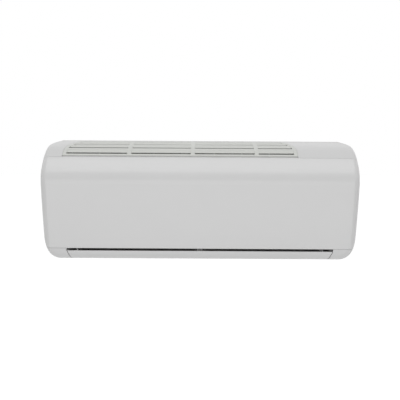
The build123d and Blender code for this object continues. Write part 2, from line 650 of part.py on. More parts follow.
def make_rear_chassis():
    rim = SHELL & block(WIDE, (-1.0, CHASSIS_DEPTH), ALL_HEIGHT)
    back = OUTER & block(WIDE, (CHASSIS_DEPTH - BACK_WALL, CHASSIS_DEPTH), ALL_HEIGHT)
    chassis = rim + back
    for x in TONGUE_PLACES:
        slot = block((x - TONGUE_WIDTH / 2 - 2, x + TONGUE_WIDTH / 2 + 2), (0.0, CHASSIS_DEPTH + 1),
                     (TONGUE_HEIGHT - LIFT - 1, TONGUE_HEIGHT + PLATE_THICK + PLAY))
        chassis = chassis - slot
    exit_depths = (CHASSIS_DEPTH - BACK_WALL - 1, CHASSIS_DEPTH + 1)
    chassis = chassis - block((-140.0, 30.0), exit_depths, (12.0, 58.0))
    inside = (LEFT_BULKHEAD + 1, RIGHT_BULKHEAD + 1)
    sill = COIL_TAIL[1] - 13.0
    outline = [(CHASSIS_DEPTH - 1, 64.0), (44.0, 64.0), (99.0, 8.0), (102.0, 8.0), (102.0, 14.5),
               (107.7, 14.5), (126.0, 47.0), (168.0, 47.0), (168.0, 67.0), (140.5, 67.0),
               (138.0, sill - 30), (120.0, sill), (62.0, sill + 8), (CHASSIS_DEPTH - 1, sill)]
    pieces = []
    for x in (LEFT_BULKHEAD, RIGHT_BULKHEAD):
        pieces.append(prism((x, x + BULKHEAD_THICK), outline))
    volute = arc_band(inside, FAN_CENTRE, VOLUTE_RADIUS, VOLUTE_RADIUS + VOLUTE_THICK,
                      VOLUTE_TOP, VOLUTE_LOW)
    ramp_length = (RAMP_START[1] - RAMP_END_HEIGHT) / -FLOW[1]
    ramp = prism(inside, [on_ramp(-0.5, 0), on_ramp(ramp_length, 0),
                          on_ramp(ramp_length - 2, -VOLUTE_THICK), on_ramp(-0.5, -VOLUTE_THICK)])
    trough = prism(inside, [(CHASSIS_DEPTH - 1, sill - 12), (54.0, sill - 12), (54.0, sill - 9.2),
                            (48.0, sill - 9.2), (48.0, sill), (46.0, sill), (46.0, sill - 9.5),
                            (CHASSIS_DEPTH - 1, sill - 9.5)])
    pieces += [volute, ramp, trough]
    pieces.append(block((RIGHT_BULKHEAD + 1, CONTROL_X[0] - 1), (CHASSIS_DEPTH - 1, 126.0), (47.0, 50.0)))
    pieces.append(block((RIGHT_BULKHEAD + 1, RIGHT_BULKHEAD + 6), (CHASSIS_DEPTH - 1, 62.0), (49.0, 66.0)))
    bracket = (COIL_TAIL[1] + 33.0, COIL_TAIL[1] + 43.0)
    for span in ((LEFT_BULKHEAD, COIL_LEFT - COIL_PLATE - 0.8),
                 (COIL_RIGHT + COIL_PLATE + 0.8, RIGHT_BULKHEAD)):
        pieces.append(block(span, (CHASSIS_DEPTH - 1, 53.0), bracket))
    pieces.append(ring((LEFT_BULKHEAD - 8, LEFT_BULKHEAD + 1), FAN_CENTRE, 10.0 + RUNNING_GAP, 13.0))
    for x, depth in SCREW_PLACES:
        pieces.append(pillar(x, depth, (8.0 + PLAY, 50.0), 4.5) & prism(
            WIDE, [(0.0, 0.0), on_ramp(80, -1), on_ramp(-1, -1), (0.0, 100.0)]))
    chassis = chassis.fuse(*pieces)
    chassis = chassis - rod((LEFT_BULKHEAD - 0.5, LEFT_BULKHEAD + 5), FAN_CENTRE, 8.0)
    chassis = chassis - rod((RIGHT_BULKHEAD - 1, RIGHT_BULKHEAD + 5), FAN_CENTRE, 12.0)
    for side in VANE_FIRST:
        for x in vane_places(side):
            chassis = chassis - ramp_rod(x, VANE_PIVOT_RUN, (-5, 1), VANE_PIN_RADIUS + RUNNING_GAP)
    for x, depth in SCREW_PLACES:
        chassis = chassis - pillar(x, depth, (5.0, 22.0), 1.5)
    for run, radius in ((SUCTION_RUN, SUCTION_RADIUS), (LIQUID_RUN, LIQUID_RADIUS)):
        half = radius + PLAY
        x_turn = HALF_WIDTH - run[1]
        chassis = chassis - block((x_turn - half - 5, x_turn + half),
                                  (run[0][0] - half, run[0][0] + half), (45.0, 70.0))
    return chassis


def make_wall_plate():
    half = PLATE_HALF_WIDTH
    low, high = PLATE_HEIGHTS
    plate = block((-half, half), (0.0, PLATE_THICK), (low, high))
    for height in (100.0, 140.0, 180.0):
        rib = block((-half + 25, half - 25), (PLATE_THICK - 0.5, PLATE_THICK + 2), (height - 4, height + 4))
        plate = plate + rib
    for x in (-130.0, 0.0, 130.0):
        for height in (120.0, 160.0):
            window = block((x - 36, x + 36), (-1.0, PLATE_THICK + 1), (height - 12, height + 12))
            plate = plate - window
    for x in TONGUE_PLACES:
        span = (x - TONGUE_WIDTH / 2, x + TONGUE_WIDTH / 2)
        shelf = block(span, (0.0, CHASSIS_DEPTH + 4), (TONGUE_HEIGHT, TONGUE_HEIGHT + PLATE_THICK))
        lip = block(span, (CHASSIS_DEPTH + 4 - PLATE_THICK, CHASSIS_DEPTH + 4),
                    (TONGUE_HEIGHT, TONGUE_HEIGHT + PLATE_THICK + TONGUE_RISE))
        plate = plate + shelf + lip
    for x in (-half + 30, half - 30):
        foot = block((x - 15, x + 15), (0.0, CHASSIS_DEPTH - BACK_WALL - PLAY), (low, low + PLATE_THICK))
        plate = plate + foot
    for sx in (-1, 1):
        for sz in (-1, 1):
            height = SCREW_CENTRE_HEIGHT + sz * SCREW_SPACING_Z / 2
            plate = plate - stub(sx * SCREW_SPACING_X / 2, height, (-1.0, 6.0), SCREW_HOLE_RADIUS)
    return plate


# ---- air path ----
def make_outlet_duct():
    tongue, foot = (131.0, 62.0), (166.8, 37.3)
    span = (-END_PLATE_X + PLAY, RIGHT_BULKHEAD - PLAY)
    wall = prism(span, strip(tongue, foot, 2.5))
    nose = rod(span, tongue, 2.2)
    return wall + nose


def make_drain_pan():
    span = (LEFT_BULKHEAD + BULKHEAD_THICK + PLAY, RIGHT_BULKHEAD - PLAY)
    outer = [(138.0, 68.0), (138.0, 63.0), (160.0, 50.0), (170.4, 50.0), (170.4, 64.0)]
    channel = [(140.5, 81.0), (140.5, 64.5), (160.8, 52.5), (168.0, 52.5), (168.0, 81.0)]
    trough = prism(span, outer) - prism((span[0] + 2.5, span[1] - 2.5), channel)
    spout = pillar(span[0] + 30, 165.0, (46.5, 51.0), 6.0)
    return trough + spout - pillar(span[0] + 30, 165.0, (30.0, 60.0), 3.2)


def make_fan():
    """A cross-flow wheel: discs, a ring of curved blades, and a hub at each end."""
    length = FAN_RIGHT - FAN_LEFT
    mid_radius = FAN_RADIUS - BLADE_CHORD / 2 - 0.6
    blades = []
    for i in range(FAN_BLADES):
        angle = i * 360.0 / FAN_BLADES
        centre = polar(FAN_CENTRE, mid_radius, angle)
        inner = polar(centre, BLADE_CHORD / 2, angle + 165)
        outer = polar(centre, BLADE_CHORD / 2, angle - 15 - 10)
        blades.append(prism((FAN_LEFT + 0.5, FAN_RIGHT - 0.5), strip(inner, outer, BLADE_THICK)))
    pitch = (length - FAN_DISC_THICK) / (FAN_DISCS - 1)
    discs = []
    for i in range(FAN_DISCS):
        x = FAN_LEFT + i * pitch
        span = (x, x + FAN_DISC_THICK)
        if 0 < i < FAN_DISCS - 1:
            discs.append(ring(span, FAN_CENTRE, FAN_RADIUS - BLADE_CHORD - 3, FAN_RADIUS))
        else:
            discs.append(rod(span, FAN_CENTRE, FAN_RADIUS))
    wheel = discs[0].fuse(*discs[1:], *blades)
    hubs = [rod((FAN_LEFT - 1, FAN_LEFT + 14), FAN_CENTRE, 9.0),
            rod((FAN_RIGHT - 22, FAN_RIGHT + 1), FAN_CENTRE, 11.0)]
    wheel = wheel.fuse(*hubs)
    bore = SHAFT_RADIUS + 0.02
    wheel = wheel - rod((FAN_LEFT - 5, FAN_LEFT + 12), FAN_CENTRE, bore)
    return wheel - rod((FAN_RIGHT - 20, FAN_RIGHT + 5), FAN_CENTRE, bore)


# ---- heat exchanger ----
def coil_slabs():
    """Start, end and name of each slab's centre line."""
    return {"front": (COIL_FOOT, towards(COIL_KNEE, COIL_FOOT, KNEE_TRIM)),
            "top": (towards(COIL_KNEE, COIL_APEX, KNEE_TRIM), towards(COIL_APEX, COIL_KNEE, APEX_TRIM)),
            "rear": (towards(COIL_APEX, COIL_TAIL, APEX_TRIM), COIL_TAIL)}


def tube_places(start, end):
    """Centres of the two rows of tubes in one slab."""
    length = hypot(end[0] - start[0], end[1] - start[1])
    count = int((length - TUBE_PITCH / 2) // TUBE_PITCH) + 1
    lead = (length - (count - 1) * TUBE_PITCH) / 2
    along = ((end[0] - start[0]) / length, (end[1] - start[1]) / length)
    places = []
    for i in range(count):
        run = lead + i * TUBE_PITCH
        for row in (-TUBE_ROW_GAP / 2, TUBE_ROW_GAP / 2):
            places.append((start[0] + along[0] * run - along[1] * row,
                           start[1] + along[1] * run + along[0] * row))
    return places


def make_coil_slab(name):
    start, end = coil_slabs()[name]
    slab = prism((COIL_LEFT, COIL_RIGHT), strip(start, end, COIL_THICK))
    holes = [rod((COIL_LEFT - 1, COIL_RIGHT + 1), place, TUBE_RADIUS + RUNNING_GAP)
             for place in tube_places(start, end)]
    return slab.cut(*holes)


def make_coil_plate(x):
    plates = [prism((x, x + COIL_PLATE), strip(start, end, COIL_THICK, 1.2))
              for start, end in coil_slabs().values()]
    plate = plates[0].fuse(*plates[1:])
    for start, end in coil_slabs().values():
        for place in tube_places(start, end):
            plate = plate - rod((x - 1, x + COIL_PLATE + 1), place, TUBE_RADIUS + RUNNING_GAP)
    return plate


def return_bend(x, first, second, outward):
    """A half-round bend that joins two tubes at one end of the coil."""
    a, b = spot(x, *first), spot(x, *second)
    reach = (b - a).length / 2
    middle = (a + b) * 0.5 + Vector(outward * reach, 0, 0)
    path = Edge.make_three_point_arc(a, middle, b)
    circle = Wire([Edge.make_circle(TUBE_RADIUS, Plane(origin=a, z_dir=path.tangent_at(0)))])
    return Solid.sweep(circle, path)


def make_coil_tubes():
    left, right = COIL_LEFT - COIL_PLATE - 1, COIL_RIGHT + COIL_PLATE + 1
    solids = []
    for start, end in coil_slabs().values():
        places = tube_places(start, end)
        tubes = [rod((left, right), place, TUBE_RADIUS) for place in places]
        bends = [return_bend(left, places[i], places[i + 1], -1) for i in range(0, len(places), 2)]
        bends += [return_bend(right, places[i], places[i + 2], 1) for i in range(1, len(places) - 2, 2)]
        solids.append(tubes[0].fuse(*tubes[1:], *bends))
    return Compound(children=[solid for group in solids for solid in group.solids()])


def make_coil_seal():
    start = coil_slabs()["top"][1]
    end = coil_slabs()["rear"][0]
    depth, height = COIL_APEX
    outline = [towards(start, COIL_APEX, 0.3), (depth + 18.0, height - 3.1), (depth, height + 5.5),
               (depth - 18.0, height - 2.8), towards(end, COIL_APEX, 0.3), (depth, height - 8)]
    return prism((COIL_LEFT, COIL_RIGHT), outline)


# ---- filters ----
def make_filter_frame(side):
    low, high = FILTER_SPANS[side]
    body = arc_band((low, high), FILTER_CENTRE, FILTER_RADIUS, FILTER_RADIUS + FILTER_THICK,
                    FILTER_LOW_ANGLE, FILTER_HIGH_ANGLE)
    columns, rows = 4, 5
    border = degrees(FILTER_BORDER / FILTER_RADIUS)
    bar = 3.0
    bar_angle = degrees(bar / FILTER_RADIUS)
    width = (high - low - 2 * FILTER_BORDER - (columns - 1) * bar) / columns
    step = (FILTER_HIGH_ANGLE - FILTER_LOW_ANGLE - 2 * border - (rows - 1) * bar_angle) / rows
    for i in range(columns):
        x = low + FILTER_BORDER + i * (width + bar)
        for j in range(rows):
            angle = FILTER_LOW_ANGLE + border + j * (step + bar_angle)
            body = body - arc_band((x, x + width), FILTER_CENTRE, FILTER_RADIUS - 1,
                                   FILTER_RADIUS + FILTER_THICK + 1, angle, angle + step)
    middle = (low + high) / 2
    tab = arc_band((middle - 18, middle + 18), FILTER_CENTRE, FILTER_RADIUS, FILTER_RADIUS + 11,
                   FILTER_LOW_ANGLE, FILTER_LOW_ANGLE + 1.2)
    return body + tab


def make_filter_mesh(side):
    low, high = FILTER_SPANS[side]
    return arc_band((low + 2, high - 2), FILTER_CENTRE, FILTER_RADIUS - 0.05 - MESH_THICK,
                    FILTER_RADIUS - 0.05, FILTER_LOW_ANGLE + 0.6, FILTER_HIGH_ANGLE - 0.6)


# ---- vanes ----
def make_vane(x):
    outline = [(-12, 1.5), (22, 1.5), (25, 19), (VANE_CRANK + 3, VANE_TOP), (VANE_CRANK - 6, VANE_TOP),
               (0, 19), (-12, 8)]
    points = [on_ramp(VANE_PIVOT_RUN + run, rise) for run, rise in outline]
    vane = prism((x - VANE_THICK / 2, x + VANE_THICK / 2), points)
    pivot = ramp_rod(x, VANE_PIVOT_RUN, (-VOLUTE_THICK, 3), VANE_PIN_RADIUS)
    collar = ramp_rod(x, VANE_PIVOT_RUN, (PLAY, 2.5), VANE_PIN_RADIUS + 1)
    crank = ramp_rod(x, VANE_PIVOT_RUN + VANE_CRANK, (VANE_TOP - 4, VANE_TOP + LINK_THICK + 2),
                     VANE_PIN_RADIUS)
    return vane.fuse(pivot, collar, crank)


def make_link_bar(side):
    places = vane_places(side)
    low = VANE_TOP + PLAY
    centre = VANE_PIVOT_RUN + VANE_CRANK
    back, front = centre - LINK_WIDTH / 2 - 1, centre + LINK_WIDTH / 2 - 1
    corners = [(back, low), (front, low), (front, low + LINK_THICK), (back, low + LINK_THICK)]
    bar = prism((places[0] - 8, places[-1] + 8), [on_ramp(run, rise) for run, rise in corners])
    half = VANE_PIN_RADIUS + LINK_SLACK
    for x in places:
        cut = [(centre - 4.4, low - 1), (centre + half, low - 1), (centre + half, low + LINK_THICK + 1),
               (centre - 4.4, low + LINK_THICK + 1)]
        bar = bar - prism((x - half, x + half), [on_ramp(run, rise) for run, rise in cut])
    return bar


# ---- flap ----
def make_flap():
    skin_zone = block(WIDE, (FLAP_BACK, 230.0), (-5.0, FLAP_TOP))
    core_zone = block(WIDE, (FLAP_BACK, 230.0), (-5.0, FLAP_TOP - FLAP_EDGE))
    skin = (OUTER - envelope(FLAP_SKIN)) & flap_zone(0.0, (FLAP_BACK, 230.0)) & skin_zone
    core = (OUTER - envelope(FLAP_THICK)) & flap_zone(-FLAP_EDGE, (FLAP_BACK, 230.0)) & core_zone
    reach = SUPPORT_HALF + 2 * PLAY
    notch = block((-reach, reach), (FLAP_BACK - 5, FLAP_PIVOT_DEPTH + 11), (-5.0, FLAP_THICK + 1))
    flap = skin + core - notch
    lug = [(FLAP_PIVOT_DEPTH - 3.5, 1.5), (FLAP_PIVOT_DEPTH + 16, 1.5), (FLAP_PIVOT_DEPTH + 16, 5.5),
           (FLAP_PIVOT_DEPTH + 3, FLAP_PIVOT_HEIGHT + 5), (FLAP_PIVOT_DEPTH - 3.5, FLAP_PIVOT_HEIGHT + 5)]
    outer = FLAP_HALF_BOTTOM - FLAP_EDGE - 1.0
    for span in ((-outer, -outer + 5), (outer - 5, outer), (-14.0, -9.0), (9.0, 14.0)):
        flap = flap + prism(span, lug)
    pin_end = -END_PLATE_X - END_PLATE_THICK + 0.4
    flap = flap + rod((pin_end, -outer + 2), FLAP_PIVOT, FLAP_PIN_RADIUS)
    flap = flap + rod((-11.0, 11.0), FLAP_PIVOT, FLAP_PIN_RADIUS)
    return flap - rod((outer - 6, outer + 1), FLAP_PIVOT, FLAP_PIN_RADIUS + 0.02)


def make_flap_drive_shaft():
    outer = FLAP_HALF_BOTTOM - FLAP_EDGE - 1.0
    return rod((outer - 5, END_PLATE_X + END_PLATE_THICK + 10), FLAP_PIVOT, FLAP_PIN_RADIUS)


def make_flap_motor():
    face = END_PLATE_X + END_PLATE_THICK + PLAY
    centre = (FLAP_PIVOT_DEPTH + 2.5, FLAP_PIVOT_HEIGHT + 7.6)
    can = rod((face, face + FLAP_MOTOR_LENGTH), centre, FLAP_MOTOR_RADIUS)
    rise = FLAP_MOTOR_RADIUS - 2.0
    ears = prism((face, face + 1), strip((centre[0] - 12, centre[1] + rise),
                                         (centre[0] + 12, centre[1] + rise), 8.0))
    return can.fuse(ears) - rod((face - 1, face + 12), FLAP_PIVOT, FLAP_PIN_RADIUS + RUNNING_GAP)


def make_flap_support():
    """A small arm from the air ramp that carries the flap's middle pin."""
    span = (-SUPPORT_HALF, SUPPORT_HALF)
    eye = rod(span, FLAP_PIVOT, 4.4)
    root = on_ramp(VANE_PIVOT_RUN + 18, PLAY)
    tip = on_ramp(VANE_PIVOT_RUN + 30, PLAY)
    arm = prism(span, [root, tip, (FLAP_PIVOT_DEPTH, FLAP_PIVOT_HEIGHT - 4),
                       (FLAP_PIVOT_DEPTH + 1, FLAP_PIVOT_HEIGHT + 4.5),
                       (FLAP_PIVOT_DEPTH - 6, FLAP_PIVOT_HEIGHT + 6)])
    foot = block(span, (OUTLET_BACK + PLAY, FLAP_PIVOT_DEPTH + 4.5), (0.6, FLAP_PIVOT_HEIGHT - 3))
    return eye.fuse(arm, foot) - rod((-8.0, 8.0), FLAP_PIVOT, FLAP_PIN_RADIUS + RUNNING_GAP)


# ---- drive and pipes ----
def make_motor_mount():
    cradle = block((MOTOR_LEFT + 4, MOTOR_RIGHT - 4), (50.0, 126.0), (50.0, 92.0))
    return cradle - rod((MOTOR_LEFT - 5, MOTOR_RIGHT + 5), FAN_CENTRE, MOTOR_RADIUS + 0.2)


def make_motor_band():
    span = (MOTOR_LEFT + 12, MOTOR_RIGHT - 12)
    band = arc_band(span, FAN_CENTRE, MOTOR_RADIUS + 0.2, MOTOR_RADIUS + 2, -6, 186)
    feet = [block(span, (FAN_DEPTH - 53, FAN_DEPTH - 40.4), (92.2, 94.0)),
            block(span, (FAN_DEPTH + 40.4, FAN_DEPTH + 37.9 + 12), (92.2, 94.0))]
    cap = block((span[0] - 1, span[1] + 1), (FAN_DEPTH - 60, FAN_DEPTH + 60), (92.2, 300.0))
    return (band & cap).fuse(*feet) - rod((span[0] - 1, span[1] + 1), FAN_CENTRE, MOTOR_RADIUS + 0.2)


def make_fan_motor():
    can = rod((MOTOR_LEFT, MOTOR_RIGHT), FAN_CENTRE, MOTOR_RADIUS)
    boss = rod((MOTOR_LEFT - 6, MOTOR_LEFT + 1), FAN_CENTRE, 11.0)
    return can + boss - rod((MOTOR_LEFT - 10, MOTOR_RIGHT - 6), FAN_CENTRE, SHAFT_RADIUS + RUNNING_GAP)


def make_pipe(run, radius):
    """A pipe from the coil's right end, down beside the fan and back along the channel."""
    (depth, drop), inset, low, x_end = run
    height, x_turn = UNIT_HEIGHT - drop, HALF_WIDTH - inset
    points = [spot(COIL_RIGHT + COIL_PLATE + 2, depth, height), spot(x_turn, depth, height),
              spot(x_turn, depth, low), spot(x_end + NUT_LENGTH - 6, depth, low)]
    return tube_along(points, radius)


def make_flare_nuts():
    nuts = []
    for run, radius in ((SUCTION_RUN, SUCTION_RADIUS), (LIQUID_RUN, LIQUID_RADIUS)):
        (depth, _), _, low, x_end = run
        body = rod((x_end, x_end + NUT_LENGTH), (depth, low), radius + 4)
        nuts.append(body - rod((x_end - 1, x_end + NUT_LENGTH + 1), (depth, low), radius + 0.05))
    return Compound(children=nuts)


def make_pipe_clamp():
    body = block((150.0, 164.0), (CHASSIS_DEPTH, 42.0), (15.0, 53.0))
    for run, radius in ((SUCTION_RUN, SUCTION_RADIUS), (LIQUID_RUN, LIQUID_RADIUS)):
        body = body - rod((140.0, 170.0), (run[0][0], run[2]), radius + 0.05)
    return body


# ---- controls ----
def cover_depth(height, radius):
    return FILTER_CENTRE[0] + sqrt(radius ** 2 - (height - FILTER_CENTRE[1]) ** 2)


def make_control_box():
    box = block(CONTROL_X, (CHASSIS_DEPTH, CONTROL_DEPTH), CONTROL_HEIGHTS)
    inner = block((CONTROL_X[0] + CONTROL_WALL, CONTROL_X[1] - CONTROL_WALL),
                  (CHASSIS_DEPTH + CONTROL_WALL, CONTROL_DEPTH + 1),
                  (CONTROL_HEIGHTS[0] + CONTROL_WALL, CONTROL_HEIGHTS[1] - CONTROL_WALL))
    heights = [height for _, height in COVER_SCREWS]
    front = block(CONTROL_X, (CONTROL_DEPTH - CONTROL_WALL, CONTROL_DEPTH),
                  (min(heights) - 6, max(heights) + 6))
    box = box - inner + front
    for x, height in COVER_SCREWS:
        reach = cover_depth(height, COVER_RADIUS) - 1.5
        box = box + stub(x, height, (CONTROL_DEPTH - 1, reach), 4.0)
        box = box - stub(x, height, (reach - 12, reach + 1), 1.3)
    return box


def make_control_board():
    low, high = CONTROL_HEIGHTS[0] + BOARD_MARGIN, CONTROL_HEIGHTS[1] - BOARD_MARGIN
    plate = block(BOARD_X, (16.0, 142.0), (low, high))
    for depth in (22.0, 136.0):
        for height in (low + BOARD_MARGIN, high - BOARD_MARGIN):
            plate = plate + rod((BOARD_X[0] - BOARD_STANDOFF, BOARD_X[0]), (depth, height), 3.0)
    return plate


def make_board_components():
    face = BOARD_X[1] + 0.05
    parts = [block((face, face + 18), (30.0, 62.0), (80.0, 112.0)),
             block((face, face + 14), (112.0, 128.0), (130.0, 158.0)),
             block((face, face + 14), (90.0, 106.0), (130.0, 158.0)),
             block((face, face + 3), (76.0, 100.0), (78.0, 92.0)),
             block((face, face + 9), (112.0, 134.0), (80.0, 90.0))]
    for depth, height, radius in ((40.0, 140.0, 11.0), (66.0, 148.0, 8.0), (66.0, 126.0, 6.0)):
        parts.append(rod((face, face + 20), (depth, height), radius))
    return Compound(children=parts)


def make_terminal_block():
    """The wiring terminals on the front of the control box."""
    low = FILTER_CENTRE[1] - 1.0
    middle = HALF_WIDTH - TERMINAL_INSET
    span = (middle - TERMINAL_HALF, middle + TERMINAL_HALF)
    base = block(span, (CONTROL_DEPTH + PLAY, CONTROL_DEPTH + 12), (low, low + 32.0))
    for i in range(4):
        height = low + 4.0 + i * 8.0
        well = block((span[0] + 4, span[1] - 4), (CONTROL_DEPTH + 7, CONTROL_DEPTH + 13), (height - 2.5, height + 2.5))
        base = base - well
    return base


def make_electric_cover():
    cover = arc_band(COVER_X, FILTER_CENTRE, COVER_RADIUS, COVER_RADIUS + COVER_THICK, -21, 50)
    x, height = BUTTON_PLACE
    cover = cover - stub(x, height, (150.0, 200.0), BUTTON_RADIUS + 0.15)
    cover = cover - block((POST_SPANS[2][0] - 1, POST_SPANS[2][1] + 1.5), (100.0, 200.0), (20.0, 260.0))
    for sx, sz in COVER_SCREWS:
        cover = cover - stub(sx, sz, (150.0, 200.0), 1.8)
    inner = cover_depth(height, COVER_RADIUS)
    for dx in (-9.0, 9.0):
        cover = cover + stub(x + dx, height, (SWITCH_DEPTH + 2.2, inner + 1), 2.0)
    return cover


def make_switch_board():
    x, height = BUTTON_PLACE
    board = block((x - 14, x + 14), (SWITCH_DEPTH, SWITCH_DEPTH + 2), (height - 8, height + 8))
    return board + block((x - 3, x + 3), (SWITCH_DEPTH + 1, SWITCH_DEPTH + 5), (height - 3, height + 3))


def make_manual_button():
    x, height = BUTTON_PLACE
    outer = cover_depth(height, COVER_RADIUS + COVER_THICK)
    collar = stub(x, height, (SWITCH_DEPTH + 7, SWITCH_DEPTH + 8.5), 5.5)
    return collar + stub(x, height, (SWITCH_DEPTH + 8, outer + 2.5), BUTTON_RADIUS)


def make_display_module():
    x, middle = HALF_WIDTH - DISPLAY_INSET, FILTER_CENTRE[1]
    face = cover_depth(middle, COVER_RADIUS + COVER_THICK) + 0.2
    case = block((x - DISPLAY_HALF, x + DISPLAY_HALF), (face, face + 4), (middle - 11.0, middle + 11.0))
    lens = (x - DISPLAY_HALF + 8, x + DISPLAY_HALF - 8)
    return case + block(lens, (face + 3.9, face + 5), (middle - 5.0, middle + 7.0))


def make_cover_screws():
    screws = []
    for x, height in COVER_SCREWS:
        high_side = height - 3.2 if height > FILTER_CENTRE[1] else height + 3.2
        seat = cover_depth(high_side, COVER_RADIUS + COVER_THICK) + 0.1
        head = stub(x, height, (seat, seat + 2.2), 3.2)
        screws.append(head + stub(x, height, (seat - 13, seat + 1), 1.25))
    return Compound(children=screws)


def make_frame_screws():
    screws = []
    for x, depth in SCREW_PLACES:
        screws.append(pillar(x, depth, (0.8, 3.0), 3.5) + pillar(x, depth, (2.0, 20.0), 1.45))
    return Compound(children=screws)


def make_temperature_sensor():
    face = COIL_FOOT[0] + COIL_THICK / 2
    centre = (face + 3.6, SENSOR_HEIGHT)
    x = HALF_WIDTH - SENSOR_INSET
    clip = block((x - 3, x + 3), (face + 0.1, face + 6.5), (centre[1] - 5, centre[1] + 5))
    probe_hole = rod((x - 9, x + 21), centre, SENSOR_RADIUS + RUNNING_GAP)
    return Compound(children=[clip - probe_hole, rod((x - 13, x + 15), centre, SENSOR_RADIUS)])


# ---- write every sub-part ----
def main():
    save("wall_plate", make_wall_plate())
    save("rear_chassis", make_rear_chassis())
    save("front_frame", make_front_frame())
    save("intake_grille", make_intake_grille())
    save("front_panel", make_front_panel())
    save("outlet_duct", make_outlet_duct())
    save("drain_pan", make_drain_pan())
    for name in ("front", "top", "rear"):
        save(f"coil_{name}", make_coil_slab(name))
    save("coil_plate_left", make_coil_plate(COIL_LEFT - COIL_PLATE - 0.2))
    save("coil_plate_right", make_coil_plate(COIL_RIGHT + 0.2))
    save("coil_tubes", make_coil_tubes())
    save("coil_seal", make_coil_seal())
    save("suction_pipe", make_pipe(SUCTION_RUN, SUCTION_RADIUS))
    save("liquid_pipe", make_pipe(LIQUID_RUN, LIQUID_RADIUS))
    save("flare_nuts", make_flare_nuts())
    save("pipe_clamp", make_pipe_clamp())
    save("fan_wheel", make_fan())
    save("fan_stub_shaft", rod((LEFT_BULKHEAD - 7, FAN_LEFT + 11), FAN_CENTRE, SHAFT_RADIUS))
    save("fan_bearing", ring((LEFT_BULKHEAD - 7.5, LEFT_BULKHEAD - 0.6), FAN_CENTRE,
                             SHAFT_RADIUS + RUNNING_GAP, 10.0))
    save("motor_shaft", rod((FAN_RIGHT - 19, MOTOR_RIGHT - 8), FAN_CENTRE, SHAFT_RADIUS))
    save("fan_motor", make_fan_motor())
    save("motor_mount", make_motor_mount())
    save("motor_band", make_motor_band())
    save("flap", make_flap())
    save("flap_drive_shaft", make_flap_drive_shaft())
    save("flap_motor", make_flap_motor())
    save("flap_support", make_flap_support())
    for side in ("left", "right"):
        for number, x in enumerate(vane_places(side), 1):
            save(f"vane_{side}_{number}", make_vane(x))
        save(f"link_bar_{side}", make_link_bar(side))
        save(f"filter_frame_{side}", make_filter_frame(side))
        save(f"filter_mesh_{side}", make_filter_mesh(side))
    save("control_box", make_control_box())
    save("control_board", make_control_board())
    save("board_components", make_board_components())
    save("terminal_block", make_terminal_block())
    save("electric_cover", make_electric_cover())
    save("switch_board", make_switch_board())
    save("manual_button", make_manual_button())
    save("display_module", make_display_module())
    save("cover_screws", make_cover_screws())
    save("frame_screws", make_frame_screws())
    save("temperature_sensor", make_temperature_sensor())


main()
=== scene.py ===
"""Finish of a wall-hung indoor air conditioning unit: casing, filters, coil, fan and studio."""
import json
import math

import bmesh
import bpy
from bpy.props import FloatProperty, FloatVectorProperty, IntProperty, PointerProperty
from mathutils import Matrix, Vector

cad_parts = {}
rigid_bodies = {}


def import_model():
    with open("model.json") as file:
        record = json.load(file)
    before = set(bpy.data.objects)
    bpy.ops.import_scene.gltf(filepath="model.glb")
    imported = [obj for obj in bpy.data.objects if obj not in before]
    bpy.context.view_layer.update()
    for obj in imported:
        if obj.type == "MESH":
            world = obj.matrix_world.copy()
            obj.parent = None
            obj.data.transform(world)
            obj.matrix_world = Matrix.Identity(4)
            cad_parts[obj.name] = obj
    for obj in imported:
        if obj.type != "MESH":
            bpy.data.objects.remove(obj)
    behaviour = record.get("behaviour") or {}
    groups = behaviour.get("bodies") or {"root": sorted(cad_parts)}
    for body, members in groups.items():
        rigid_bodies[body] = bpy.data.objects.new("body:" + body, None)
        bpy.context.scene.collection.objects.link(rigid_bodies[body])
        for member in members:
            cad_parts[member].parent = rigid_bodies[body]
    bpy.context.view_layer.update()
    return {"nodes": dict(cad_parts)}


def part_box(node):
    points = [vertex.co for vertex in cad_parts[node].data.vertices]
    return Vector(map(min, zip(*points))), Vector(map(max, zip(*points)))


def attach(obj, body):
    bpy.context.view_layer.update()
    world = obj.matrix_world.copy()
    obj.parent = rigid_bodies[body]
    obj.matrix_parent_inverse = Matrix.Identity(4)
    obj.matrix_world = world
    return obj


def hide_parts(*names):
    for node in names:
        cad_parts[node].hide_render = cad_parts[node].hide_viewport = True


bl_info = {
    "name": "Indoor unit finish",
    "version": (1, 0, 0),
    "blender": (4, 5, 0),
    "location": "3D Viewport > Sidebar > Indoor unit",
    "description": "Gives a wall-hung indoor unit its fine pieces, finishes and studio",
    "category": "Object",
}

for leftover in list(bpy.data.objects):
    bpy.data.objects.remove(leftover)
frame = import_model()
NODES = frame["nodes"]

SCREW_CENTRE_HEIGHT = 0.140
MM = 0.001


# ---- places, in the unit's own terms ----
def spot(x, depth, height):
    """A point from millimetres: along the unit, out from the wall, up from the underside."""
    return Vector((x * MM, -depth * MM, height * MM - SCREW_CENTRE_HEIGHT))


def span_of(node):
    """The lowest and highest X of a node, in millimetres."""
    low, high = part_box(node)
    return low.x / MM, high.x / MM


def polar(centre, radius, angle):
    """A (depth, height) point; angle 0 points out from the wall, 90 points up."""
    turn = math.radians(angle)
    return centre[0] + radius * math.cos(turn), centre[1] + radius * math.sin(turn)


# ---- mesh helpers ----
def piece_from(name, build, body, replaced=()):
    """Puts a finished bmesh in the scene as a piece that rides on a body."""
    mesh = bpy.data.meshes.new(name)
    bmesh.ops.recalc_face_normals(build, faces=build.faces)
    build.to_mesh(mesh)
    build.free()
    piece = bpy.data.objects.new(name, mesh)
    bpy.context.scene.collection.objects.link(piece)
    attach(piece, body)
    if replaced:
        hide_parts(*replaced)
    return piece


def smooth(piece, angle=30.0):
    """Smooth shading that keeps edges sharper than the angle."""
    piece.data.shade_smooth()
    piece.data.set_sharp_from_angle(angle=math.radians(angle))


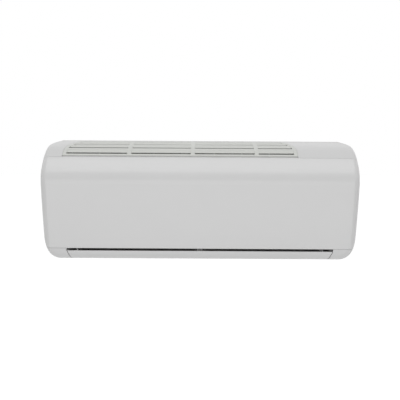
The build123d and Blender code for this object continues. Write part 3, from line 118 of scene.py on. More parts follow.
def join_rows(build, rows):
    """Joins closed rows of vertices with faces; each row has the same count of them."""
    for first, second in zip(rows, rows[1:]):
        for i in range(len(first)):
            j = (i + 1) % len(first)
            build.faces.new((first[i], first[j], second[j], second[i]))


def skin_rings(build, rings, caps=True):
    """A skin through closed rings of points, with a face over both ends where caps is set."""
    rows = [[build.verts.new(point) for point in ring] for ring in rings]
    join_rows(build, rows)
    if caps:
        build.faces.new(rows[0])
        build.faces.new(rows[-1])
    return rows


def axes_about(axis):
    """A direction of length one and two more that are square to it."""
    axis = axis.normalized()
    side = axis.orthogonal().normalized()
    return axis, side, axis.cross(side)


def turned(build, profile, origin, axis, steps=24, caps=True):
    """A turned form: (distance along the axis, radius) pairs spun about it."""
    axis, side, across = axes_about(axis)
    turns = [2 * math.pi * i / steps for i in range(steps)]
    rings = [[origin + axis * run + (side * math.cos(turn) + across * math.sin(turn)) * radius
              for turn in turns] for run, radius in profile]
    return skin_rings(build, rings, caps)


def bar_between(build, first, second, width, up):
    """A square bar from one point to another."""
    along = (second - first).normalized()
    side = along.cross(up).normalized() * width / 2
    lift = side.cross(along).normalized() * width / 2
    ends = []
    for end in (first, second):
        ends.append([end + side + lift, end - side + lift, end - side - lift, end + side - lift])
    skin_rings(build, ends)


def slab(build, corner, size):
    """A box from its lowest corner and its size, in metres."""
    low, high = Vector(corner), Vector(corner) + Vector(size)
    rings = [[Vector((x, low.y, low.z)), Vector((x, high.y, low.z)), Vector((x, high.y, high.z)),
              Vector((x, low.y, high.z))] for x in (low.x, high.x)]
    skin_rings(build, rings)


# ---- shader helpers ----
def node(tree, kind, inputs=None, **settings):
    """Adds a shader node, sets it up and joins or fills its inputs."""
    made = tree.nodes.new(kind)
    for name, value in settings.items():
        setattr(made, name, value)
    for name, value in (inputs or {}).items():
        socket = made.inputs[name]
        if isinstance(value, bpy.types.NodeSocket):
            tree.links.new(value, socket)
        else:
            socket.default_value = value
    return made


def noise(tree, place, scale, detail=2.0, output="Fac", **extra):
    """An output of a Noise Texture node; extra sockets are written with _ for a space."""
    inputs = {"Vector": place, "Scale": scale, "Detail": detail}
    inputs.update({label.replace("_", " "): value for label, value in extra.items()})
    return node(tree, "ShaderNodeTexNoise", inputs).outputs[output]


def maths(tree, operation, *values):
    """A Math node's output."""
    return node(tree, "ShaderNodeMath", dict(enumerate(values)), operation=operation).outputs[0]


def blended(tree, share, first, second):
    """A colour between two colours."""
    mixer = node(tree, "ShaderNodeMix", {0: share, 6: first, 7: second}, data_type="RGBA")
    return mixer.outputs[2]


def ranged(tree, value, low, high, new_low=0.0, new_high=1.0):
    """A value taken from one range to another."""
    return node(tree, "ShaderNodeMapRange",
                {0: value, 1: low, 2: high, 3: new_low, 4: new_high}).outputs[0]


def effect(name, inputs, outputs):
    """A new shader node group with named sockets: its tree, input node and output node."""
    tree = bpy.data.node_groups.new(name, "ShaderNodeTree")
    for label, kind, value in inputs:
        socket = tree.interface.new_socket(label, in_out="INPUT", socket_type=kind)
        if value is not None:
            socket.default_value = value
    for label, kind in outputs:
        tree.interface.new_socket(label, in_out="OUTPUT", socket_type=kind)
    return tree, tree.nodes.new("NodeGroupInput").outputs, tree.nodes.new("NodeGroupOutput")


def give(tree, target, **values):
    """Joins values to a group's outputs."""
    for name, value in values.items():
        tree.links.new(value, target.inputs[name])


VECTOR, NUMBER, COLOUR = "NodeSocketVector", "NodeSocketFloat", "NodeSocketColor"
SURFACE = [("Colour", COLOUR), ("Roughness", NUMBER), ("Height", NUMBER)]
WHITE = (1, 1, 1, 1)


def make_moulded_skin():
    """Spark grain and slow flow marks of a moulded surface."""
    tree, source, target = effect(
        "Moulded skin",
        [("Place", VECTOR, None), ("Colour", COLOUR, WHITE), ("Flow colour", COLOUR, WHITE),
         ("Grain per metre", NUMBER, 1800.0), ("Roughness", NUMBER, 0.4),
         ("Roughness spread", NUMBER, 0.08)], SURFACE)
    grain = noise(tree, source["Place"], source["Grain per metre"])
    flow = noise(tree, source["Place"], 9.0, 3.0, Distortion=0.6)
    colour = blended(tree, ranged(tree, flow, 0.3, 0.7), source["Colour"], source["Flow colour"])
    rough = maths(tree, "MULTIPLY_ADD", maths(tree, "SUBTRACT", flow, 0.5),
                  source["Roughness spread"], source["Roughness"])
    give(tree, target, Colour=colour, Roughness=rough, Height=grain)
    return tree


def make_settled_dust():
    """Fine dust that lies on what faces up."""
    tree, source, target = effect(
        "Settled dust", [("Place", VECTOR, None), ("Colour", COLOUR, WHITE),
                         ("Dust colour", COLOUR, (0.4, 0.38, 0.35, 1)), ("Amount", NUMBER, 0.1)],
        [("Colour", COLOUR), ("Mask", NUMBER)])
    facing = node(tree, "ShaderNodeNewGeometry").outputs["Normal"]
    up = node(tree, "ShaderNodeSeparateXYZ", {0: facing}).outputs[2]
    speckle = noise(tree, source["Place"], 320.0, 6.0, Roughness=0.7)
    mask = maths(tree, "MULTIPLY", ranged(tree, up, 0.2, 1.0), ranged(tree, speckle, 0.42, 0.68))
    mask = maths(tree, "MULTIPLY", mask, source["Amount"])
    give(tree, target, Colour=blended(tree, mask, source["Colour"], source["Dust colour"]), Mask=mask)
    return tree


def make_drawn_streaks():
    """Long fine streaks of rolled, drawn or brushed metal."""
    tree, source, target = effect(
        "Drawn streaks",
        [("Place", VECTOR, None), ("Stretch", VECTOR, (2.0, 400.0, 400.0)), ("Colour", COLOUR, WHITE),
         ("Streak colour", COLOUR, (0.8, 0.8, 0.8, 1)), ("Roughness", NUMBER, 0.3),
         ("Roughness spread", NUMBER, 0.15)], SURFACE)
    stretched = node(tree, "ShaderNodeVectorMath", {0: source["Place"], 1: source["Stretch"]},
                     operation="MULTIPLY").outputs[0]
    streak = noise(tree, stretched, 1.0, 4.0)
    stain = noise(tree, source["Place"], 45.0, 5.0, Distortion=0.8)
    share = maths(tree, "MULTIPLY", ranged(tree, streak, 0.35, 0.65), ranged(tree, stain, 0.3, 0.7, 0.4))
    rough = maths(tree, "MULTIPLY_ADD", share, source["Roughness spread"], source["Roughness"])
    give(tree, target, Colour=blended(tree, share, source["Colour"], source["Streak colour"]),
         Roughness=rough, Height=streak)
    return tree


def make_zinc_flowers():
    """The crystal pattern of hot-dipped zinc."""
    tree, source, target = effect(
        "Zinc flowers",
        [("Place", VECTOR, None), ("Flowers per metre", NUMBER, 130.0),
         ("Dark", COLOUR, (0.4, 0.42, 0.43, 1)), ("Light", COLOUR, (0.62, 0.64, 0.66, 1)),
         ("Roughness", NUMBER, 0.35)], SURFACE)
    bent = noise(tree, source["Place"], 60.0, 3.0, output="Color")
    place = node(tree, "ShaderNodeVectorMath", {0: bent, 1: (0.006, 0.006, 0.006), 2: source["Place"]},
                 operation="MULTIPLY_ADD").outputs[0]
    cells = node(tree, "ShaderNodeTexVoronoi", {"Vector": place, "Scale": source["Flowers per metre"]})
    tone = node(tree, "ShaderNodeSeparateColor", {0: cells.outputs["Color"]}).outputs[0]
    rough = maths(tree, "MULTIPLY_ADD", tone, 0.16, source["Roughness"])
    give(tree, target, Colour=blended(tree, tone, source["Dark"], source["Light"]),
         Roughness=rough, Height=tone)
    return tree


def make_diamond_emboss():
    """A fine diamond emboss over a film: rows of small raised lozenges on X and Z."""
    tree, source, target = effect(
        "Diamond emboss", [("Place", VECTOR, None), ("Rows per metre", NUMBER, 180.0)],
        [("Height", NUMBER)])
    parts = node(tree, "ShaderNodeSeparateXYZ", {0: source["Place"]}).outputs
    pace = maths(tree, "MULTIPLY", source["Rows per metre"], math.pi)
    waves = [maths(tree, "SINE", maths(tree, "MULTIPLY", maths(tree, way, parts[0], parts[2]), pace))
             for way in ("ADD", "SUBTRACT")]
    height = maths(tree, "SMOOTH_MAX", maths(tree, "MULTIPLY", *waves), -0.1, 0.2)
    give(tree, target, Height=height)
    return tree


GROUPS = {}


def shared(tree, name, **inputs):
    """Outputs of a shared effect, whose groups are made once; labels have _ for a space."""
    if not GROUPS:
        GROUPS.update(skin=make_moulded_skin(), dust=make_settled_dust(), streaks=make_drawn_streaks(),
                      zinc=make_zinc_flowers(), diamonds=make_diamond_emboss())
    values = {label.replace("_", " "): value for label, value in inputs.items()}
    return node(tree, "ShaderNodeGroup", values, node_tree=GROUPS[name]).outputs


def new_material(name):
    """An empty material: its tree, its Principled shader and the object's own coordinates."""
    made = bpy.data.materials.new(name)
    made.use_nodes = True
    tree = made.node_tree
    tree.nodes.clear()
    shader = tree.nodes.new("ShaderNodeBsdfPrincipled")
    end = tree.nodes.new("ShaderNodeOutputMaterial")
    tree.links.new(shader.outputs[0], end.inputs[0])
    place = tree.nodes.new("ShaderNodeTexCoord").outputs["Object"]
    return made, tree, shader, place


def join_surface(tree, shader, colour, roughness, height, distance, strength=1.0):
    """Feeds a colour, a roughness and bumps of one height to the shader."""
    tree.links.new(colour, shader.inputs["Base Color"])
    tree.links.new(roughness, shader.inputs["Roughness"])
    bump = node(tree, "ShaderNodeBump", {"Height": height, "Distance": distance, "Strength": strength})
    tree.links.new(bump.outputs[0], shader.inputs["Normal"])


def opaque(colour, share=1.0):
    """A colour with full alpha, scaled in brightness."""
    return tuple(min(1.0, channel * share) for channel in colour[:3]) + (1.0,)


def plastic(name, colour, roughness, spread=0.08, flow=0.97, grain=1800.0, bump=0.00001, dust=0.0,
            **sockets):
    """A moulded plastic: grain, flow marks and, where asked, settled dust."""
    made, tree, shader, place = new_material(name)
    skin = shared(tree, "skin", Place=place, Colour=opaque(colour), Flow_colour=opaque(colour, flow),
                  Grain_per_metre=grain, Roughness=roughness, Roughness_spread=spread)
    tone = skin["Colour"]
    if dust:
        tone = shared(tree, "dust", Place=place, Colour=tone, Dust_colour=opaque(colour, 0.6),
                      Amount=dust)["Colour"]
    join_surface(tree, shader, tone, skin["Roughness"], skin["Height"], bump)
    for label, value in sockets.items():
        shader.inputs[label.replace("_", " ")].default_value = value
    return made


def drawn_metal(name, colour, streak, roughness, spread, stretch, bump=0.00001):
    """A metal with streaks along one way."""
    made, tree, shader, place = new_material(name)
    shader.inputs["Metallic"].default_value = 1.0
    lines = shared(tree, "streaks", Place=place, Stretch=stretch, Colour=opaque(colour),
                   Streak_colour=opaque(streak), Roughness=roughness, Roughness_spread=spread)
    join_surface(tree, shader, lines["Colour"], lines["Roughness"], lines["Height"], bump)
    return made


def zinc_sheet(name, dark, light, roughness, flowers=130.0):
    """Hot-dipped zinc sheet."""
    made, tree, shader, place = new_material(name)
    shader.inputs["Metallic"].default_value = 1.0
    cells = shared(tree, "zinc", Place=place, Flowers_per_metre=flowers, Dark=opaque(dark),
                   Light=opaque(light), Roughness=roughness)
    join_surface(tree, shader, cells["Colour"], cells["Roughness"], cells["Height"], 0.00002)
    return made


def dress(material, *names):
    """Gives whole nodes or pieces one material."""
    for name in names:
        target = NODES.get(name) or bpy.data.objects[name]
        target.data.materials.clear()
        target.data.materials.append(material)


# ---- sizes and colours a user may change ----
class CasingLook(bpy.types.PropertyGroup):
    """Colour and surface of the casing"""
    white: FloatVectorProperty(
        name="White", description="Colour of the casing's plastic", subtype="COLOR", size=3,
        default=(0.655, 0.655, 0.655), min=0.0, max=1.0)
    gloss: FloatProperty(
        name="Panel roughness", description="Roughness of the front panel's film", default=0.3,
        min=0.0, max=1.0)
    diamond: FloatProperty(
        name="Diamond size", description="Distance between the panel's embossed rows", default=0.0056,
        min=0.001, max=0.02, unit="LENGTH")


class CoilLook(bpy.types.PropertyGroup):
    """Sizes of the coil's fins"""
    fin_pitch: FloatProperty(
        name="Fin pitch", description="Distance from fin to fin", default=0.0018, min=0.0008, max=0.01,
        unit="LENGTH")
    fin_thick: FloatProperty(
        name="Fin thickness", description="Thickness of one fin", default=0.00025, min=0.0001, max=0.001,
        unit="LENGTH")
    ripple: FloatProperty(
        name="Ripple", description="Depth of the waves pressed into a fin", default=0.0004,
        min=0.0, max=0.001, unit="LENGTH")


class FilterLook(bpy.types.PropertyGroup):
    """Sizes of the filters' nets"""
    net_pitch: FloatProperty(
        name="Net pitch", description="Distance between the net's strands", default=0.0027,
        min=0.001, max=0.01, unit="LENGTH")
    strand: FloatProperty(
        name="Strand", description="Thickness of a strand", default=0.0004, min=0.0001, max=0.001,
        unit="LENGTH")


class FanLook(bpy.types.PropertyGroup):
    """Blades of the wheel"""
    blades: IntProperty(
        name="Blades", description="Blades in one section of the wheel", default=35, min=12, max=60)
    stagger: FloatProperty(
        name="Stagger", description="Turn between one section's blades and the next's",
        default=math.radians(3.4), min=0.0, max=0.2, subtype="ANGLE")


class StudioLook(bpy.types.PropertyGroup):
    """Lamps, surroundings and camera"""
    front_light: FloatProperty(
        name="Front light", description="Power of the large soft lamp in front", default=21.0,
        min=0.0, unit="POWER")
    top_light: FloatProperty(
        name="Top light", description="Power of the soft lamp above", default=12.8, min=0.0,
        unit="POWER")
    fill: FloatProperty(
        name="Fill", description="Brightness of the surroundings", default=0.5, min=0.0, max=2.0)
    floor_drop: FloatProperty(
        name="Floor drop", description="Distance from the wall screws down to the floor", default=1.3,
        min=0.15, unit="LENGTH")
    lens: FloatProperty(
        name="Lens", description="Focal length of the camera", default=63.0, min=10.0, unit="CAMERA")


# ---- casing ----
def film_material(look):
    """Glossy white film with a fine diamond emboss."""
    made, tree, shader, place = new_material("White embossed film")
    skin = shared(tree, "skin", Place=place, Colour=opaque(look.white),
                  Flow_colour=opaque(look.white, 0.99), Grain_per_metre=2600.0, Roughness=look.gloss,
                  Roughness_spread=0.05)
    diamonds = shared(tree, "diamonds", Place=place, Rows_per_metre=1.0 / look.diamond)
    join_surface(tree, shader, skin["Colour"], skin["Roughness"], diamonds["Height"], 0.00003, 0.6)
    shader.inputs["Coat Weight"].default_value = 0.5
    shader.inputs["Coat Roughness"].default_value = 0.12
    return made


class UNIT_OT_casing(bpy.types.Operator):
    """Finish the front frame, panel, flap, intake grille and electric cover"""
    bl_idname = "indoor_unit.casing"
    bl_label = "Casing"

    def execute(self, context):
        look = context.scene.indoor_casing
        dress(film_material(look), "front_panel")
        dress(plastic("White casing plastic", look.white, 0.36, flow=0.985, dust=0.04, Coat_Weight=0.15,
                      Coat_Roughness=0.2), "front_frame")
        dress(plastic("White flap plastic", look.white, 0.34, flow=0.985, dust=0.02, Coat_Weight=0.2,
                      Coat_Roughness=0.2), "flap")
        grille = [channel * share for channel, share in zip(look.white, (0.985, 1.0, 0.955))]
        dress(plastic("Warm white grille plastic", grille, 0.42, flow=0.975, dust=0.1), "intake_grille")
        dress(plastic("White cover plastic", look.white, 0.45, flow=0.97), "electric_cover")
        dress(plastic("White button plastic", look.white, 0.3, flow=0.98, grain=3000.0), "manual_button")
        return {"FINISHED"}


class UNIT_OT_chassis(bpy.types.Operator):
    """Finish the grey plastic parts behind the casing"""
    bl_idname = "indoor_unit.chassis"
    bl_label = "Chassis and air path"

    def execute(self, context):
        dress(plastic("Grey chassis plastic", (0.58, 0.58, 0.565), 0.5, flow=0.93, grain=900.0,
                      bump=0.00003, dust=0.12), "rear_chassis")
        dress(plastic("Grey duct plastic", (0.56, 0.565, 0.56), 0.46, flow=0.94, dust=0.08),
              "outlet_duct", "drain_pan", "flap_support")
        dress(plastic("Grey bracket plastic", (0.5, 0.5, 0.49), 0.5, flow=0.92),
              "motor_mount", "pipe_clamp")
        vanes = [name for name in NODES if name.startswith("vane_")]
        dress(plastic("Pale vane plastic", (0.6, 0.605, 0.6), 0.4, flow=0.95), *vanes)
        dress(plastic("Pale link plastic", (0.52, 0.53, 0.53), 0.38, flow=0.94),
              "link_bar_left", "link_bar_right")
        return {"FINISHED"}


# ---- coil ----
COIL_THICK = 24.0
COIL_END_ROOM = 1.0
FIN_POINTS = 9
# the start and the end of each slab's centre line, as (depth, height)
COIL_SLABS = {"front": ((155.0, 70.0), (155.0, 145.4)),
              "top": ((152.18, 153.64), (101.75, 219.31)),
              "rear": ((81.72, 219.55), (35.0, 163.0))}


def fin_rings(x, start, end, thick, ripple):
    """One fin: a long section across the slab, pressed into waves."""
    run = Vector((end[0] - start[0], end[1] - start[1]))
    length = run.length
    run = run / length
    side = Vector((-run[1], run[0]))
    rings = []
    for share in (0.0, 1.0):
        ring = []
        for face in (1, -1):
            for i in range(FIN_POINTS)[::face]:
                across = (i / (FIN_POINTS - 1) - 0.5) * COIL_THICK
                bend = math.cos(i * math.pi) * ripple / 2
                depth = start[0] + run[0] * length * share + side[0] * across
                height = start[1] + run[1] * length * share + side[1] * across
                point = spot(x, depth, height)
                point.x += bend + face * thick / 2
                ring.append(point)
        rings.append(ring)
    return rings


class UNIT_OT_coil(bpy.types.Operator):
    """Build the coil's stacks of thin fins and finish its tubes and plates"""
    bl_idname = "indoor_unit.coil"
    bl_label = "Coil"

    def execute(self, context):
        look = context.scene.indoor_coil
        fins = drawn_metal("Bare aluminium fin", (0.74, 0.76, 0.78), (0.6, 0.63, 0.66), 0.34, 0.16,
                           (900.0, 60.0, 8.0))
        low, high = span_of("coil_front")
        pitch = look.fin_pitch / MM
        count = int((high - low - COIL_END_ROOM) / pitch)
        lead = (high - low - count * pitch) / 2
        for name, (start, end) in COIL_SLABS.items():
            build = bmesh.new()
            for i in range(count + 1):
                x = low + lead + i * pitch
                skin_rings(build, fin_rings(x, start, end, look.fin_thick, look.ripple))
            piece = piece_from(f"fins_{name}", build, "unit", (f"coil_{name}",))
            dress(fins, piece.name)
        dress(zinc_sheet("Zinc coil plate", (0.5, 0.52, 0.53), (0.68, 0.7, 0.72), 0.3, 190.0),
              "coil_plate_left", "coil_plate_right")
        dress(drawn_metal("Copper tube", (0.78, 0.42, 0.27), (0.55, 0.27, 0.16), 0.28, 0.22,
                          (40.0, 260.0, 260.0)), "coil_tubes", "suction_pipe", "liquid_pipe")
        dress(drawn_metal("Turned brass", (0.8, 0.6, 0.3), (0.62, 0.45, 0.2), 0.22, 0.15,
                          (1500.0, 20.0, 20.0)), "flare_nuts")
        dress(plastic("Black seal foam", (0.035, 0.035, 0.037), 0.95, grain=700.0, bump=0.0004),
              "coil_seal")
        dress(drawn_metal("Oxidised copper probe", (0.7, 0.38, 0.25), (0.36, 0.2, 0.13), 0.35, 0.25,
                          (60.0, 300.0, 300.0)), "temperature_sensor")
        return {"FINISHED"}


# ---- filters ----
# the arc that the nets follow: its centre as (depth, height), its radius and its two ends
FILTER_CENTRE = (30.0, 105.0)
FILTER_FACE = 148.7
FILTER_ANGLES = (-13.4, 87.4)
NET_INSET = 0.3
STRAND_STEPS = 34


def net_strands(build, low, high, pitch, strand):
    """Strands along the curve and across it, which cross in one layer."""
    start, end = FILTER_ANGLES
    count = int((high - low) / pitch)
    for i in range(count + 1):
        x = low + (high - low) * i / count
        rings = []
        for j in range(STRAND_STEPS + 1):
            angle = start + (end - start) * j / STRAND_STEPS
            ring = []
            for dx, dr in ((1, 1), (-1, 1), (-1, -1), (1, -1)):
                depth, height = polar(FILTER_CENTRE, FILTER_FACE + dr * strand / 2, angle)
                ring.append(spot(x + dx * strand / 2, depth, height))
            rings.append(ring)
        skin_rings(build, rings)
    arc = math.radians(end - start) * FILTER_FACE
    rows = int(arc / pitch)
    for j in range(rows + 1):
        angle = start + (end - start) * j / rows
        depth, height = polar(FILTER_CENTRE, FILTER_FACE, angle)
        outward = spot(0, *polar(FILTER_CENTRE, 1.0, angle)) - spot(0, *FILTER_CENTRE)
        bar_between(build, spot(low, depth, height), spot(high, depth, height), strand * MM, outward)


class UNIT_OT_filters(bpy.types.Operator):
    """Build the two filters' nets and finish their frames"""
    bl_idname = "indoor_unit.filters"
    bl_label = "Filters"

    def execute(self, context):
        look = context.scene.indoor_filter
        net = plastic("Pale nylon strand", (0.5, 0.53, 0.5), 0.45, flow=0.9, grain=4000.0, bump=0.000004)
        for side in ("left", "right"):
            build = bmesh.new()
            low, high = span_of(f"filter_mesh_{side}")
            net_strands(build, low + NET_INSET, high - NET_INSET, look.net_pitch / MM, look.strand / MM)
            piece = piece_from(f"filter_net_{side}", build, f"filter_{side}",
                               (f"filter_mesh_{side}",))
            dress(net, piece.name)
        dress(plastic("Pale filter plastic", (0.6, 0.64, 0.6), 0.5, flow=0.93, dust=0.15),
              "filter_frame_left", "filter_frame_right")
        return {"FINISHED"}


# ---- fan ----
# the wheel's axis, as (depth, height)
FAN_CENTRE = (88.0, 98.0)
FAN_RADIUS = 48.0
FAN_SECTIONS = 8
HUB_REACH = 1.0
DISC_THICK = 2.0
DISC_EDGE = 0.4
DISC_POINTS = 72
DISC_BORE = 4.2
BLADE_DEPTH = 11.0
BLADE_STEPS = 5
BLADE_SET_BACK = 0.5
BLADE_LEAN = 17.0
BLADE_BOW = 9.0
BLADE_HALF_THICK = 0.55
BLADE_LAP = 0.1
RING_MARGIN = 3.5
# each hub's distance from its end of the wheel, its length and its radius
HUB_LEFT = (-1.0, 15.0, 9.0)
HUB_RIGHT = (-22.0, 23.0, 11.0)
HUB_BORE = 4.1
HUB_EDGE = 0.6


def curved_blade(build, x_span, angle):
    """One blade of the wheel: a thin arc between two discs."""
    outer, inner = [], []
    for i in range(BLADE_STEPS + 1):
        share = i / BLADE_STEPS
        radius = FAN_RADIUS - BLADE_SET_BACK - BLADE_DEPTH * share
        lean = angle + BLADE_LEAN * share - BLADE_BOW * math.sin(math.pi * share)
        swell = 0.45 + math.sin(math.pi * min(1.0, share + 0.15))
        half = math.degrees(BLADE_HALF_THICK * swell / radius)
        outer.append(polar(FAN_CENTRE, radius, lean + half))
        inner.append(polar(FAN_CENTRE, radius, lean - half))
    loop = outer + inner[::-1]
    skin_rings(build, [[spot(x, depth, height) for depth, height in loop] for x in x_span])


def wheel_discs(build, low, step):
    """The end discs and the rings between the wheel's sections."""
    for section in range(FAN_SECTIONS + 1):
        x = low + section * step
        solid = section in (0, FAN_SECTIONS)
        inner = DISC_BORE if solid else FAN_RADIUS - BLADE_DEPTH - RING_MARGIN
        profile = [(0.0, inner), (0.0, FAN_RADIUS - DISC_EDGE), (DISC_EDGE, FAN_RADIUS),
                   (DISC_THICK - DISC_EDGE, FAN_RADIUS), (DISC_THICK, FAN_RADIUS - DISC_EDGE),
                   (DISC_THICK, inner), (0.0, inner)]
        rings = [[spot(x + run, *polar(FAN_CENTRE, radius, 360.0 * i / DISC_POINTS))
                  for i in range(DISC_POINTS)] for run, radius in profile]
        skin_rings(build, rings, caps=False)


def wheel_hub(build, start, length, radius):
    """A hub with chamfered rims about the wheel's axis."""
    profile = [(0, HUB_BORE), (0, radius - HUB_EDGE), (HUB_EDGE, radius), (length - HUB_EDGE, radius),
               (length, radius - HUB_EDGE), (length, HUB_BORE)]
    turned(build, [(run * MM, reach * MM) for run, reach in profile], spot(start, *FAN_CENTRE),
           Vector((1, 0, 0)))


class UNIT_OT_fan(bpy.types.Operator):
    """Build the cross-flow wheel with curved blades and finish its shafts and bearing"""
    bl_idname = "indoor_unit.fan"
    bl_label = "Fan and drive"

    def execute(self, context):
        look = context.scene.indoor_fan
        build = bmesh.new()
        low, high = span_of("fan_wheel")
        low, high = low + HUB_REACH, high - HUB_REACH
        step = (high - low - DISC_THICK) / FAN_SECTIONS
        wheel_discs(build, low, step)
        for section in range(FAN_SECTIONS):
            span = (low + section * step + DISC_THICK - BLADE_LAP,
                    low + (section + 1) * step + BLADE_LAP)
            turn = math.degrees(look.stagger) * section
            for blade in range(look.blades):
                curved_blade(build, span, 360.0 * blade / look.blades + turn)
        wheel_hub(build, low + HUB_LEFT[0], *HUB_LEFT[1:])
        wheel_hub(build, high + HUB_RIGHT[0], *HUB_RIGHT[1:])
        piece = piece_from("crossflow_wheel", build, "fan", ("fan_wheel",))
        smooth(piece, 40.0)
        dress(plastic("Dark fan plastic", (0.05, 0.052, 0.056), 0.42, flow=0.8, grain=1200.0,
                      bump=0.00002, dust=0.5), piece.name)
        dress(drawn_metal("Ground steel", (0.6, 0.6, 0.61), (0.5, 0.5, 0.51), 0.2, 0.12,
                          (30.0, 900.0, 900.0)), "fan_stub_shaft", "motor_shaft", "flap_drive_shaft")
        dress(plastic("Black bearing rubber", (0.03, 0.03, 0.03), 0.7, grain=900.0, bump=0.00005),
              "fan_bearing")
        dress(zinc_sheet("Pressed motor can", (0.46, 0.47, 0.48), (0.56, 0.57, 0.58), 0.34, 60.0),
              "fan_motor", "flap_motor")
        dress(zinc_sheet("Zinc band", (0.5, 0.52, 0.53), (0.66, 0.68, 0.7), 0.3, 160.0), "motor_band")
        return {"FINISHED"}


# ---- electrics ----
def board_material():
    """Green lacquered board with pale pads and darker tracks."""
    made, tree, shader, place = new_material("Green lacquered board")
    cells = node(tree, "ShaderNodeTexVoronoi", {"Vector": place, "Scale": 420.0}, distance="CHEBYCHEV")
    track = ranged(tree, cells.outputs["Distance"], 0.35, 0.42)
    tone = blended(tree, track, (0.02, 0.14, 0.06, 1), (0.035, 0.2, 0.09, 1))
    pads = ranged(tree, cells.outputs["Distance"], 0.12, 0.09)
    tone = blended(tree, pads, tone, (0.55, 0.55, 0.5, 1))
    join_surface(tree, shader, tone, ranged(tree, pads, 0.0, 1.0, 0.28, 0.4), track, 0.00005)
    return made


# head radius, head height, shank radius and shank length, in millimetres
COVER_SCREW = (3.2, 2.2, 1.25, 12.8)
COVER_SCREW_SEARCH = 3.3
FRAME_SCREW = (3.5, 2.2, 1.45, 17.0)
OUTWARDS, DOWNWARDS = Vector((0, -1, 0)), Vector((0, 0, -1))
FRAME_SCREW_X = (-250.0, 0.0, 240.0)
FRAME_SCREW_DEPTH, FRAME_SCREW_SEAT = 60.0, 3.0
# shares of a head: its straight rim and where its slot starts, of its height; the slot's floor
HEAD_RIM, SLOT_RISE, SLOT_TAPER = 0.35, 0.98, 0.7
HEAD_POINTS = 32


def pan_screw(build, origin, axis, sizes):
    """A pan-head screw with a cross recess; origin is the head's seat, axis points out of it."""
    head_radius, head_height, shank_radius, shank_length = (size * MM for size in sizes)
    slot_half, slot_reach, slot_depth = head_radius * 0.16, head_radius * 0.62, head_height * 0.5
    rings = [(-shank_length, shank_radius * 0.3), (-shank_length + shank_radius, shank_radius)]
    turns = max(3, int(shank_length / (shank_radius * 0.9)))
    for i in range(turns):
        run = -shank_length + shank_radius + (shank_length - shank_radius) * i / turns
        rings += [(run, shank_radius * 0.8), (run + shank_radius * 0.3, shank_radius)]
    rings += [(0.0, shank_radius), (0.0, head_radius), (head_height * HEAD_RIM, head_radius)]
    for i in range(1, 5):
        turn = math.pi / 2 * i / 5
        rise = HEAD_RIM + (1 - HEAD_RIM) * math.sin(turn)
        rings.append((head_height * rise, head_radius * math.cos(turn * 0.8)))
    rows = turned(build, rings, origin, axis, steps=HEAD_POINTS, caps=False)
    build.faces.new(rows[0])
    axis, side, across = axes_about(axis)
    top = origin + axis * head_height * SLOT_RISE
    cross = [(slot_reach, slot_half), (slot_half, slot_half), (slot_half, slot_reach)]
    outline = []
    for quarter in range(4):
        cosine, sine = math.cos(math.pi / 2 * quarter), math.sin(math.pi / 2 * quarter)
        outline += [(a * cosine - b * sine, a * sine + b * cosine) for a, b in cross]
    rim = [build.verts.new(top + side * a + across * b) for a, b in outline]
    floor = [build.verts.new(top - axis * slot_depth + (side * a + across * b) * SLOT_TAPER)
             for a, b in outline]
    join_rows(build, [rim, floor])
    build.faces.new(floor)
    edges = [build.edges.get((loop[i], loop[(i + 1) % len(loop)])) for loop in (rows[-1], rim)
             for i in range(len(loop))]
    bmesh.ops.triangle_fill(build, use_beauty=True, edges=edges)


def outermost_y(name, height, reach):
    """The outermost Y of a node's vertices that are less than reach from one height."""
    return min(v.co.y for v in NODES[name].data.vertices if abs(v.co.z - height) < reach)


# a numeral's bars: each middle, as shares of the width and the height, and 1 for a level bar
NUMERAL_BARS = ((0, 0, 1), (0, 0.5, 1), (0, 1, 1), (-0.5, 0.25, 0), (0.5, 0.25, 0), (-0.5, 0.75, 0),
                (0.5, 0.75, 0))
NUMERAL_PLACES = (-5.0, 3.0)
NUMERAL_SIZE = 5.4
NUMERAL_RISE = 8.2
NUMERAL_SINK = 0.3


def numeral(build, x, depth, height, size):
    """One seven-bar numeral on the display's lens."""
    thick = size * 0.14
    for dx, dz, level in NUMERAL_BARS:
        w, h = (size * 0.46, thick) if level else (thick, size * 0.42)
        cx, cz = x + dx * size * 0.62, height + dz * size
        slab(build, spot(cx - w / 2, depth + 0.12, cz - h / 2), Vector((w, 0.1, h)) * MM)


